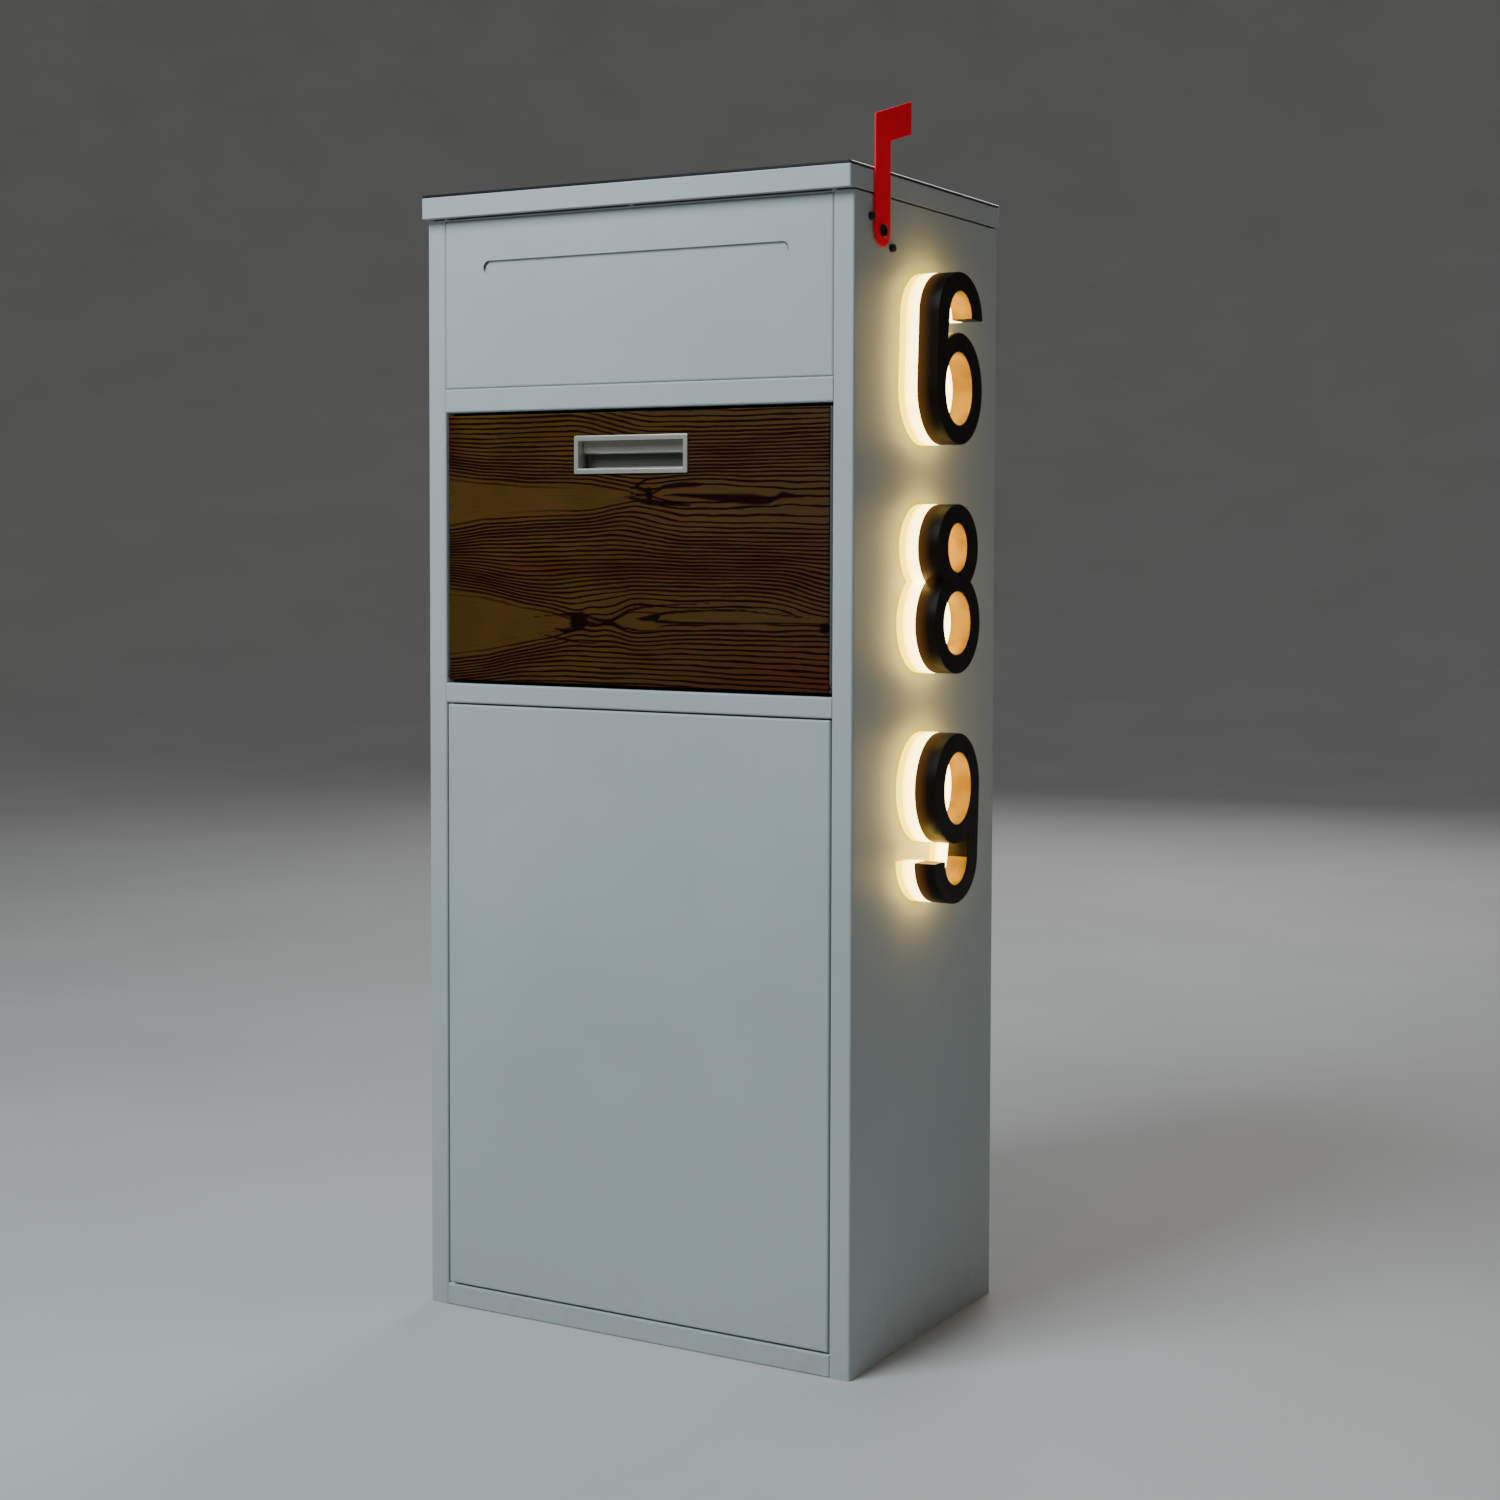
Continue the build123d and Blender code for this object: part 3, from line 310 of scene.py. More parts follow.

# %% [markdown]
# ## Plastics, rubber and enamels
# Moulded black plastic has a fine spark-eroded grain. Rubber is duller, with a little bloom. The
# flag's red enamel carries painted light: a weak red emission of its own, on top of what falls on
# it, keeps it bright in the shade.


# %% Recipes for plastic, rubber and enamel
def moulded(name, tint, roughness, grain=0.9 * MM):
    """Moulded plastic or rubber: an even tint with a fine texture."""
    finish = Finish(name, Specular_IOR_Level=0.45)
    patches = finish.between(finish.noise(0.03, 4.0), 0.3, 0.7)
    paler = rgb(*[1.25 * channel + 0.004 for channel in tint])
    finish.set(Base_Color=finish.blend(patches, rgb(*tint), paler))
    finish.set(Roughness=finish.between(patches, 0.0, 1.0, roughness, roughness + 0.08))
    finish.set(Normal=finish.bump(finish.noise(grain, 3.0), 0.05 * MM))
    return finish.material


def enamel_with_painted_glow(name, tint, roughness, glow):
    """Red enamel with painted light: a weak emission of its own tint brightens it. Slightly rippled."""
    finish = Finish(name, Specular_IOR_Level=0.08, Emission_Color=rgb(*tint), Emission_Strength=glow)
    depth_of_tint = finish.between(finish.noise(0.05, 2.0), 0.3, 0.7)
    finish.set(Base_Color=finish.blend(depth_of_tint, rgb(*tint), shade(tint, 0.86)))
    finish.set(Roughness=finish.between(finish.noise(0.02, 4.0), 0.3, 0.7, roughness, roughness + 0.1))
    finish.set(Normal=finish.bump(finish.noise(2.5 * MM, 2.0), 0.04 * MM))
    return finish.material


black_plastic = moulded("plastic_black", (0.02, 0.02, 0.022), 0.48)
black_rubber = moulded("rubber_black", (0.014, 0.014, 0.014), 0.66, 1.6 * MM)
white_nylon = moulded("plastic_white", (0.66, 0.65, 0.6), 0.4)
# The flag's red carries painted light, a weak red emission
red_enamel = enamel_with_painted_glow("flag_red", (0.95, 0.008, 0.03), 0.55, 0.13)

# %% [markdown]
# ## Lit acrylic
# Each numeral stands on a thick opal acrylic block with light-emitting diodes behind its black
# shell. The opal glows white at the front and yellower towards the panel, and the clear sheet
# behind it is yellower still. Together they throw the warm halo on the panel. The glow is the
# material's own emission, so it lights the panel as the real one does.


# %% Acrylic recipes
def lit_acrylic(name, tint, glow, strength, rear_glow=None):
    """Acrylic that gives light, a little cloudy; rear_glow is its light's colour next to the panel."""
    finish = Finish(name, Roughness=0.25, Emission_Strength=strength)
    clouds = finish.between(finish.noise(0.012, 2.0), 0.3, 0.7)
    finish.set(Base_Color=finish.blend(clouds, rgb(*tint), shade(tint, 0.94)))
    light = finish.blend(clouds, rgb(*glow), shade(glow, 0.93))
    if rear_glow:
        rear, front = (corner[0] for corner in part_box("numeral_six_diffuser"))
        forward = finish.between(finish.axis("X"), rear, (rear + front) / 2)
        light = finish.blend(forward, rgb(*rear_glow), light)
    finish.set(Emission_Color=light)
    return finish.material


opal = lit_acrylic("acrylic_opal", (0.9, 0.82, 0.62), (1.0, 0.73, 0.27), 9.0, (1.0, 0.56, 0.02))
clear_acrylic = lit_acrylic("acrylic_clear", (0.3, 0.2, 0.02), (1.0, 0.74, 0.0), 4.8)
led = lit_acrylic("led_white", (0.9, 0.88, 0.8), (1.0, 0.8, 0.5), 6.0)

# %% [markdown]
# ## Light that creeps up the shells
# Some of the opal's light gets past the rear edge of each black shell and creeps up its wall. The
# black enamel and the brass inside the loops therefore carry a faint warm glow of their own, full
# at that edge and gone a few millimetres further forward.


# %% Recipe for enamel and brass near the light
def spilled_light(name, tint, roughness, metallic, spill, reach):
    """Enamel or brass near the opal, with light spilling up it from its rear edge."""
    finish = Finish(name, Metallic=metallic, Specular_IOR_Level=0.15)
    patches = finish.between(finish.noise(0.02, 3.0), 0.3, 0.7)
    finish.set(Base_Color=finish.blend(patches, rgb(*tint), shade(tint, 0.8)))
    finish.set(Roughness=finish.between(patches, 0.0, 1.0, roughness, roughness + 0.08))
    rear_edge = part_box("numeral_six_shell")[0][0]
    fade = finish.between(finish.axis("X"), rear_edge + reach, rear_edge)
    finish.set(Emission_Color=rgb(1.0, 0.38, 0.06), Emission_Strength=finish.times(fade, spill))
    finish.set(Normal=finish.bump(finish.noise(2 * MM, 2.0), 0.03 * MM))
    return finish.material


black_enamel = spilled_light("numeral_black", (0.011, 0.006, 0.0025), 0.4, 0.0, 0.1, 14 * MM)
warm_brass = spilled_light("numeral_brass", (0.36, 0.21, 0.02), 0.5, 1.0, 0.05, 24 * MM)

# %% [markdown]
# ## Solar sheet
# The lid is covered by a black solar laminate. Under its glossy film the cells are dark blue-black
# squares with hair-thin silver fingers, all drawn with simple repeats of the X and Y coordinates.


# %% Solar recipe
def solar_sheet():
    """Cells with fingers under a clear film."""
    finish = Finish("solar_black", Coat_Weight=1.0, Coat_Roughness=0.06, Roughness=0.35)
    gap = 0.0
    for letter, cell in (("X", 74 * MM), ("Y", 71.2 * MM)):
        # Half a cell aside, plus many whole ones, so that the repeat never meets a negative place
        shifted = finish.math("ADD", finish.axis(letter), cell * 50.5)
        line = finish.between(finish.math("PINGPONG", shifted, cell / 2), 0.8 * MM, 1.4 * MM, 1.0, 0.0)
        gap = finish.math("MAXIMUM", line, gap)
    repeat = finish.math("PINGPONG", finish.axis("X"), 1.1 * MM)
    fingers = finish.between(repeat, 0.08 * MM, 0.16 * MM, 1.0, 0.0)
    cells = finish.blend(finish.noise(0.05, 3.0), rgb(0.004, 0.005, 0.009), rgb(0.008, 0.009, 0.016))
    cells = finish.blend(finish.times(fingers, 0.3), cells, rgb(0.12, 0.12, 0.13))
    finish.set(Base_Color=finish.blend(gap, cells, rgb(0.006, 0.006, 0.006)))
    finish.set(Normal=finish.bump(finish.noise(4 * MM, 2.0), 0.03 * MM))
    return finish.material


solar_black = solar_sheet()

# %% [markdown]
# ## Wood-grain laminate
# The hopper door wears a printed dark pine. Its grain is a height map read as contour lines. The
# door's own mesh carries that height as an attribute, with how far apart the lines stand, where the
# wood is bare, where knots lie and where it is redder. The recipe turns them into brown early wood,
# thin dark late-wood lines of even width, and near-black knots.


# %% Wood recipe
def grained_laminate():
    """Contour lines of the grain attribute, with bare tongues, dark strokes and redder zones."""
    finish = Finish("wood_grain", Specular_IOR_Level=0.06)

    def streaks(length, height, detail):
        """Noise drawn out along the grain, its lumps length by height in millimetres."""
        return finish.noise(1.0, detail, finish.stretched(length * MM, 1.0, height * MM))

    maps = ("grain", "spread", "bare", "knot", "red")
    grain, spread, bare, knot, red = (finish.node("Attribute", attribute_name=name)["Fac"] for name in maps)
    wander = finish.math("SUBTRACT", streaks(45, 10, 3.0), 0.5)
    wave = finish.math("PINGPONG", finish.math("ADD", grain, finish.times(wander, 0.8)), 0.5)
    ragged = finish.math("SUBTRACT", streaks(11, 1.2, 5.0), 0.5)
    away = finish.math("ADD", finish.math("SUBTRACT", 0.5, wave), finish.times(ragged, 0.16))
    weight = finish.between(streaks(70, 8, 3.0), 0.3, 0.7, 0.1, 0.19)
    late = finish.between(finish.times(away, spread), finish.math("ADD", weight, 0.11), weight)
    late = finish.times(late, finish.math("SUBTRACT", 1.0, bare))
    zone = finish.between(finish.noise(0.1, 2.0), 0.35, 0.65)
    early = finish.blend(zone, rgb(0.07, 0.033, 0.0052), rgb(0.088, 0.04, 0.008))
    # Painted light: the right side of the face turns a lighter brown, standing in for the brighter light
    # there
    painted_light_right = finish.between(finish.axis("X"), -0.1, 0.2)
    early = finish.blend(finish.times(painted_light_right, 0.6), early, rgb(0.074, 0.037, 0.015))
    early = finish.blend(red, early, rgb(0.075, 0.013, 0.004))
    fibre = finish.between(streaks(30, 0.8, 4.0), 0.4, 0.8, 0.0, 0.4)
    early = finish.blend(fibre, early, rgb(0.03, 0.012, 0.004))
    colour = finish.blend(finish.times(late, 0.96), early, rgb(0.0105, 0.001, 0.0004))
    finish.set(Base_Color=finish.blend(knot, colour, rgb(0.008, 0.0007, 0.0003)))
    finish.set(Roughness=finish.between(late, 0.0, 1.0, 0.55, 0.42))
    relief = finish.bump(late, 0.03 * MM)
    finish.set(Normal=finish.bump(streaks(6, 0.4, 3.0), 0.02 * MM, relief))
    return finish.material


wood = grained_laminate()

# %% [markdown]
# ## Giving the frame its finishes
# A frame part keeps its mesh. Only its material slots are filled, from the name of the finish that
# the record gives it.

# %% Finishes by slot
finishes = {
    "powder_grey": grey_coat,
    "galvanised": galvanised,
    "zinc_steel": zinc,
    "satin_silver": nickel,
    "wood_grain": wood,
    "solar_black": solar_black,
    "rubber_black": black_rubber,
    "plastic_black": black_plastic,
    "plastic_white": white_nylon,
    "screw_black": black_screw,
    "flag_red": red_enamel,
    "numeral_black": black_enamel,
    "acrylic_opal": opal,
    "acrylic_clear": clear_acrylic,
    "led_white": led,
}
slot_of = {part["node"]: part["material_slot"] for part in frame["record"]["subparts"]}
for node_name, node in frame["nodes"].items():
    node.data.materials.clear()
    node.data.materials.append(finishes[slot_of[node_name]])
frame["nodes"]["letter_flap"].data.materials[0] = flap_coat
print("finished", len(frame["nodes"]), "frame parts")

# %% [markdown]
# ## From formulas to meshes
# Each new piece is a grid of points worked out by numpy. `surface` joins neighbouring points into
# quads, closes every row into a ring, and caps the first and last rows. It then measures the signed
# volume that the faces enclose and turns the faces round if they point inwards.


# %% Mesh helpers
def quads(rows, columns, wrap):
    """Corner numbers of the quads of a grid, as an array with four columns."""
    first = np.arange(columns if wrap else columns - 1)
    row, column = np.meshgrid(np.arange(rows - 1) * columns, first, indexing="ij")
    beside = (column + 1) % columns
    corners = [row + column, row + beside, row + columns + beside, row + columns + column]
    return np.stack(corners, axis=-1).reshape(-1, 4)


def enclosed(points, faces):
    """Signed volume inside quads, by summing the tetrahedra they make with the origin."""
    a, b, c, d = (points[faces[:, index]] for index in range(4))
    one = np.einsum("ij,ij->i", a, np.cross(b, c))
    two = np.einsum("ij,ij->i", a, np.cross(c, d))
    return (one.sum() + two.sum()) / 6


def piece(name, points, faces, slot, body, stands_for=(), smooth=40.0, paint=None):
    """Makes an object, rides it on a body and gives it its slot; paint replaces the slot's finish."""
    mesh = bpy.data.meshes.new(name)
    mesh.from_pydata(np.asarray(points).reshape(-1, 3).tolist(), [], faces)
    mesh.update()
    mesh.polygons.foreach_set("use_smooth", np.ones(len(mesh.polygons), dtype=bool))
    mesh.set_sharp_from_angle(angle=radians(smooth))
    mesh.materials.append(paint or finishes[slot])
    made = bpy.data.objects.new(name, mesh)
    bpy.context.scene.collection.objects.link(made)
    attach(made, body)
    if stands_for:
        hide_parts(*stands_for)
    print(name, len(mesh.vertices), "points")
    return made


def surface(name, grids, slot, body, stands_for=(), smooth=40.0, paint=None):
    """A piece of one or more grids, rows x columns x 3, each wrapped along its columns and capped."""
    points, faces, offset = [], [], 0
    for grid in grids:
        rows, columns = grid.shape[:2]
        flat = grid.reshape(-1, 3)
        side = quads(rows, columns, True)
        turn = -1 if enclosed(flat - flat.mean(axis=0), side) < 0 else 1
        first = np.arange(columns)[::-1]
        last = np.arange(columns) + (rows - 1) * columns
        faces += (side[:, ::turn] + offset).tolist()
        faces += [(cap[::turn] + offset).tolist() for cap in (first, last)]
        points.append(flat)
        offset += len(flat)
    return piece(name, np.concatenate(points), faces, slot, body, stands_for, smooth, paint)


def across(axis):
    """Two directions at right angles to an axis and to each other, and the axis, as arrays."""
    axis = np.array(axis, dtype=float)
    side = np.cross(axis, (0.3, 0.5, 0.81))
    side /= np.linalg.norm(side)
    return side, np.cross(axis, side), axis


def turned(profile, centre, axis, count=32):
    """A profile of (distance along the axis, radius) spun round the axis through the centre."""
    along, radius = np.array(profile).T
    angle = np.linspace(0, 2 * pi, count, endpoint=False)
    side, other, axis = across(axis)
    ring = np.cos(angle)[:, None] * side + np.sin(angle)[:, None] * other
    return np.array(centre) + along[:, None, None] * axis + radius[:, None, None] * ring


def rounded_rectangles(half_width, half_height, radius, count=14):
    """Rectangles with round corners, one for each radius: corner centres plus radius times a circle."""
    angle = np.linspace(0, pi / 2, count) + np.arange(4)[:, None] * pi / 2
    circle = np.stack([np.cos(angle), np.sin(angle)], axis=-1).reshape(-1, 2)
    corner = np.repeat([(1, 1), (-1, 1), (-1, -1), (1, -1)], count, axis=0)
    half = np.stack(np.broadcast_arrays(half_width, half_height), axis=-1)
    radius = np.asarray(radius)[:, None]
    return corner * (half - radius)[:, None, :] + circle * radius[:, None]


# %% [markdown]
# ## The wood-grain door face
# The laminate is a flat sheet, so its shape is a plain grid with the pull's cut-out left open. What
# makes it wood is where the grain lines run. A list of bare tongues says where they keep away: two
# broad tongues from the left edge, and thinner ones beside the knots. The grain height is the depth
# down the door counted in lines. Every tongue slides the height aside by its own half thickness at
# its rim and less further off, so the lines part round it and close up again. Gentler slides make
# them dip and climb across the door.

# %% Door face
def box(node_name):
    """Lowest and highest corner of a frame part, as arrays."""
    return np.array(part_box(node_name))


face_low, face_high = box("hopper_wood_panel")
pull_low, pull_high = box("pull_cup")
pull_rim, pull_wall, fit = 4.7 * MM, 1.0 * MM, 0.25 * MM
hole_half = (pull_high[0] - pull_low[0]) / 2 - pull_rim + fit
hole_low = pull_low[2] + pull_rim - pull_wall - fit
hole_high = pull_high[2] - pull_rim + pull_wall + fit
grain_lines = 52
print("door face", (face_high - face_low) / MM, "mm")


def grid_lines(low, high, step, *through):
    """Evenly spaced places from low to high that also include the given ones."""
    stops = [low, *through, high]
    counts = [max(2, int(round((b - a) / step)) + 1) for a, b in zip(stops, stops[1:])]
    spans = [np.linspace(a, b, n)[:-1] for a, b, n in zip(stops, stops[1:], counts)]
    return np.concatenate([*spans, [high]])


def bell(value, centre, spread):
    """A smooth hill of height one."""
    return np.exp(-(((value - centre) / spread) ** 2))


def step_up(value, start, end):
    """Rises smoothly from 0 at start to 1 at end, or falls if end is lower."""
    share = np.clip((value - start) / (end - start), 0, 1)
    return share * share * (3 - 2 * share)


def tongue(u, v, line):
    """A soft shape along a line of (u, v, half thickness) points; zero past its ends."""
    place, middle, half = np.array(line).T
    thick = np.interp(u, place, half, left=0.0, right=0.0) + 1e-6
    away = np.abs(v - np.interp(u, place, middle)) / thick
    return step_up(away, 1.3, 0.7) * (u > place[0]) * (u < place[-1])


def blob(u, v, centre_u, centre_v, wide, tall):
    """A ragged oval."""
    angle = np.arctan2((v - centre_v) / tall, (u - centre_u) / wide)
    edge = 1 + 0.1 * np.sin(5 * angle + 40 * centre_u) + 0.07 * np.sin(9 * angle)
    return step_up(np.hypot((u - centre_u) / wide, (v - centre_v) / tall) / edge, 1.1, 0.75)


# In all of these u runs from the left edge to the right and v from the top edge down, both 0 to 1
bare_tongues = [
    [
        (0.0, 0.325, 0.085), (0.1, 0.322, 0.06), (0.25, 0.318, 0.045),
        (0.4, 0.31, 0.038), (0.5, 0.303, 0.01),
    ],
    [
        (0.0, 0.785, 0.115), (0.1, 0.785, 0.095), (0.2, 0.782, 0.06),
        (0.3, 0.778, 0.03), (0.345, 0.775, 0.01),
    ],
    [(0.375, 0.757, 0.002), (0.395, 0.76, 0.013), (0.425, 0.768, 0.002)],
    [
        (0.45, 0.768, 0.002), (0.5, 0.765, 0.03), (0.56, 0.76, 0.026),
        (0.6, 0.75, 0.02), (0.85, 0.745, 0.02), (1.0, 0.752, 0.006),
    ],
    [
        (0.56, 0.3, 0.004), (0.62, 0.288, 0.016), (0.72, 0.29, 0.016),
        (0.8, 0.3, 0.006), (0.9, 0.3, 0.002),
    ],
]
dark_strokes = [
    [
        (0.556, 0.3, 0.004), (0.585, 0.275, 0.008), (0.633, 0.268, 0.01),
        (0.669, 0.268, 0.008), (0.69, 0.269, 0.001),
    ],
    [
        (0.498, 0.282, 0.001), (0.514, 0.273, 0.006), (0.537, 0.25, 0.005),
        (0.567, 0.241, 0.004), (0.618, 0.24, 0.001),
    ],
    [(0.51, 0.276, 0.003), (0.53, 0.283, 0.009), (0.555, 0.3, 0.004)],
    [
        (0.481, 0.308, 0.001), (0.514, 0.32, 0.007), (0.548, 0.33, 0.012),
        (0.6, 0.336, 0.009), (0.655, 0.342, 0.003),
    ],
    [
        (0.578, 0.308, 0.001), (0.618, 0.304, 0.005), (0.669, 0.309, 0.008),
        (0.742, 0.317, 0.015), (0.813, 0.323, 0.02),
    ],
    [
        (0.812, 0.323, 0.02), (0.852, 0.327, 0.013), (0.87, 0.318, 0.008),
        (0.884, 0.307, 0.012), (0.947, 0.317, 0.001),
    ],
    [
        (0.24, 0.755, 0.001), (0.294, 0.747, 0.002), (0.336, 0.743, 0.008),
        (0.371, 0.74, 0.006), (0.401, 0.757, 0.006),
    ],
    [
        (0.4, 0.757, 0.006), (0.428, 0.766, 0.008), (0.447, 0.767, 0.011),
        (0.466, 0.749, 0.006), (0.492, 0.725, 0.005),
    ],
    [(0.491, 0.725, 0.005), (0.537, 0.711, 0.004), (0.596, 0.702, 0.003), (0.706, 0.694, 0.001)],
    [
        (0.382, 0.773, 0.009), (0.417, 0.78, 0.005), (0.447, 0.77, 0.01),
        (0.477, 0.788, 0.005), (0.522, 0.798, 0.004),
    ],
    [(0.521, 0.798, 0.004), (0.633, 0.796, 0.003), (0.742, 0.79, 0.001)],
    [(0.294, 0.797, 0.001), (0.325, 0.806, 0.008), (0.356, 0.797, 0.006), (0.38, 0.785, 0.004)],
    [(0.255, 0.819, 0.001), (0.31, 0.833, 0.0045), (0.356, 0.844, 0.0045), (0.409, 0.849, 0.001)],
    [(0.511, 0.755, 0.001), (0.537, 0.753, 0.008), (0.567, 0.748, 0.015), (0.578, 0.745, 0.003)],
    [
        (0.563, 0.74, 0.006), (0.596, 0.73, 0.005), (0.669, 0.721, 0.004),
        (0.778, 0.716, 0.0035), (0.954, 0.741, 0.001),
    ],
    [
        (0.563, 0.761, 0.006), (0.633, 0.767, 0.005), (0.742, 0.765, 0.004),
        (0.849, 0.761, 0.003), (0.989, 0.758, 0.001),
    ],
]
dark_blobs = [(0.361, 0.768, 0.027, 0.036), (0.548, 0.3, 0.011, 0.026), (0.99, 0.774, 0.013, 0.022)]


def bare_map(u, v):
    """Where the print has no lines."""
    return np.max([tongue(u, v, line) for line in bare_tongues], axis=0)


def knot_map(u, v):
    """Knots and the resin strokes that run from them."""
    strokes = [tongue(u, v, line) for line in dark_strokes]
    return np.max([*strokes, *[blob(u, v, *item) for item in dark_blobs]], axis=0)


def red_map(u, v):
    """Redder heartwood at the left edge, near the top, across the middle and at the lower right."""
    edge = 0.85 * step_up(u, 0.05, 0.0) * step_up(v, 0.3, 0.15)
    middle = 0.55 * bell(v, 0.575, 0.035) * bell(u, 0.45, 0.35)
    top = 0.3 * bell(v, 0.08, 0.03) * bell(u, 0.3, 0.1)
    corner = 0.75 * step_up(u + 2 * v, 2.35, 3.0)
    return np.clip(edge + middle + top + corner, 0, 1)


def parted(u, v, line):
    """How far a bare tongue pushes the lines aside: its own half thickness at its rim, fading away."""
    place, middle, half = np.array(line).T
    row, reach_each_way = u[0], 10
    window = np.exp(-(np.linspace(-2.5, 2.5, 2 * reach_each_way + 1) ** 2))

    def smoothed(values):
        """A row of values, each averaged with its neighbours."""
        return np.convolve(np.pad(values, reach_each_way, mode="edge"), window / window.sum(), mode="valid")

    before = half[0] if place[0] == 0 else 0.0
    thick = smoothed(np.interp(row, place, half, left=before, right=0.0)) + 1e-5
    centre = smoothed(np.interp(row, place, middle))
    away = (v - centre) / thick
    reach = np.clip(np.abs(v - centre) - thick, 0, None) / (0.05 + 0.6 * thick)
    return 0.95 * thick * np.tanh(1.6 * away) / np.tanh(1.6) * np.exp(-(reach**2))


def grain_map(u, v):
    """Grain height in lines, and how far the lines stand apart compared with even spacing."""
    slide = 0.07 * step_up(u, 0.33, 0.56) * step_up(v, 0.26, 0.05)
    slide = slide + 0.05 * step_up(u, 0.46, 0.66) * bell(v, 0.42, 0.1)
    slide = slide - 0.05 * step_up(u, 0.2, 0.55) * bell(v, 0.655, 0.09) * step_up(u, 1.1, 0.8)
    slide = slide + 0.03 * step_up(u, 0.88, 1.0) * bell(v, 0.63, 0.1)
    slide = slide + 0.012 * step_up(u, 0.3, 0.8) * step_up(v, 0.8, 0.95)
    slide = slide + 0.003 * np.sin(9 * u + 12 * v)
    for line in bare_tongues:
        slide = slide + parted(u, v, line)
    level = grain_lines * (v - slide)
    rise = np.gradient(level, axis=0) / np.gradient(v, axis=0) / grain_lines
    return level, np.clip(1 / np.maximum(np.abs(rise), 0.2), 0.4, 4.0)


def door_face():
    """A grid with the pull's hole left open, thickened to the rear by a Solidify modifier."""
    columns = grid_lines(face_low[0], face_high[0], 2.0 * MM, -hole_half, hole_half)
    rows = grid_lines(face_low[2], face_high[2], 1.05 * MM, hole_low, hole_high)
    x, z = np.meshgrid(columns, rows, indexing="xy")
    points = np.stack([x, np.full_like(x, face_low[1]), z], axis=-1)
    faces = quads(len(rows), len(columns), False)
    middle = points.reshape(-1, 3)[faces].mean(axis=1)
    beside_hole = (np.abs(middle[:, 0]) > hole_half) | (middle[:, 2] < hole_low) | (middle[:, 2] > hole_high)
    faces = faces[beside_hole].tolist()
    made = piece("door_wood_face", points, faces, "wood_grain", "hopper", ["hopper_wood_panel"])
    size = face_high - face_low
    u, v = (x - face_low[0]) / size[0], (face_high[2] - z) / size[2]
    level, spread = (field[::-1] for field in grain_map(u[::-1], v[::-1]))
    maps = {"grain": level, "spread": spread}
    maps |= {"knot": knot_map(u, v), "bare": bare_map(u, v), "red": red_map(u, v)}
    for key, values in maps.items():
        made.data.attributes.new(key, "FLOAT", "POINT").data.foreach_set("value", values.ravel())
    thicken = made.modifiers.new("thickness", "SOLIDIFY")
    thicken.thickness, thicken.offset = size[1], -1


door_face()

# %% [markdown]
# ## The flush pull
# The pull is one pressed cup: a narrow raised rim, then walls that drop into a shallow pan. Its
# section is a single line that starts at the middle of the pan, climbs the wall, rolls over the rim
# and comes back behind it. Carrying that line round a rounded rectangle gives the whole cup. A
# sprung plate fills the upper half of the mouth, set back behind the rim.


# %% Pull
def carried(section, half_width, half_height, corner, centre):
    """Carries a section of (inset, y) points round a rounded rectangle in the X-Z plane."""
    inset, y = np.array(section).T
    radius = np.maximum(corner - inset, 0.4 * MM)
    rings = rounded_rectangles(half_width - inset, half_height - inset, radius)
    depth = np.broadcast_to(y[:, None], rings.shape[:2])
    return np.stack([rings[..., 0] + centre[0], depth, rings[..., 1] + centre[2]], axis=-1)


def arc(inset, y, radius, start, end, count=6):
    """Round corner of a section: centre plus radius times (cos, -sin); 0 degrees points inwards."""
    angle = np.radians(np.linspace(start, end, count))
    return np.column_stack([inset + radius * np.cos(angle), y - radius * np.sin(angle)])


pull_centre = (pull_low + pull_high) / 2
pull_half = (pull_high - pull_low) / 2
door_front = face_low[1]
pan_floor = door_front + 15 * MM
pan_edge = pull_rim + 9 * MM
rim_radius, wall_radius = 0.9 * MM, 2.0 * MM
pull_section = [
    (pan_edge, pan_floor),
    *arc(pull_rim + wall_radius, pan_floor - wall_radius, wall_radius, 270, 180),
    *arc(pull_rim - rim_radius, pull_low[1] + rim_radius, rim_radius, 0, 90),
    *arc(rim_radius, pull_low[1] + rim_radius, rim_radius, 90, 180),
    (0.0, door_front),
    (pull_rim - pull_wall, door_front),
    (pull_rim - pull_wall, pull_high[1] - 1.5 * MM),
    (pull_rim + 0.5 * MM, pull_high[1]),
    (pan_edge, pull_high[1]),
]
surface(
    "pull_pressed_cup",
    [carried(pull_section, pull_half[0], pull_half[2], 1.8 * MM, pull_centre)],
    "satin_silver",
    "hopper",
    ["pull_cup"],
)


def sprung_plate():
    """A plate across the mouth: flat, with its lower edge rolled to the rear."""
    half = pull_half[0] - pull_rim - 0.3 * MM
    top = pull_high[2] - pull_rim - 0.2 * MM
    lip = pull_centre[2] + 0.5 * MM
    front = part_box("pull_hood")[0][1]
    thick, roll, soft_end = 1.1 * MM, 3.2 * MM, 0.4 * MM
    angle = np.radians(np.linspace(0, 95, 9))
    curl = np.column_stack([np.sin(angle), np.cos(angle)])
    centre = np.array([lip + roll, front + roll])
    outer, inner = centre - roll * curl, centre - (roll - thick) * curl[::-1]
    z, y = np.vstack([(top, front), outer, inner, (top, front + thick)]).T
    ends = np.array([-half, -half + soft_end, half - soft_end, half]) + pull_centre[0]
    grid = np.stack(np.broadcast_arrays(ends[:, None], y, z), axis=-1)
    surface("pull_sprung_plate", [grid], "satin_silver", "hopper", ["pull_hood"], 35)


sprung_plate()

# %% [markdown]
# ## Screws and rivets
# A pan-head screw is a dome with a cross cut into it. Both are one height over a disc: the dome
# falls away ever faster towards its edge, and the cross sinks it wherever a point is close to
# either of two lines. Rivets are the same dome with no cross. The flag turns on one black screw,
# rivets hold the back, and small screws hold the two leaves of the lid's hinge.


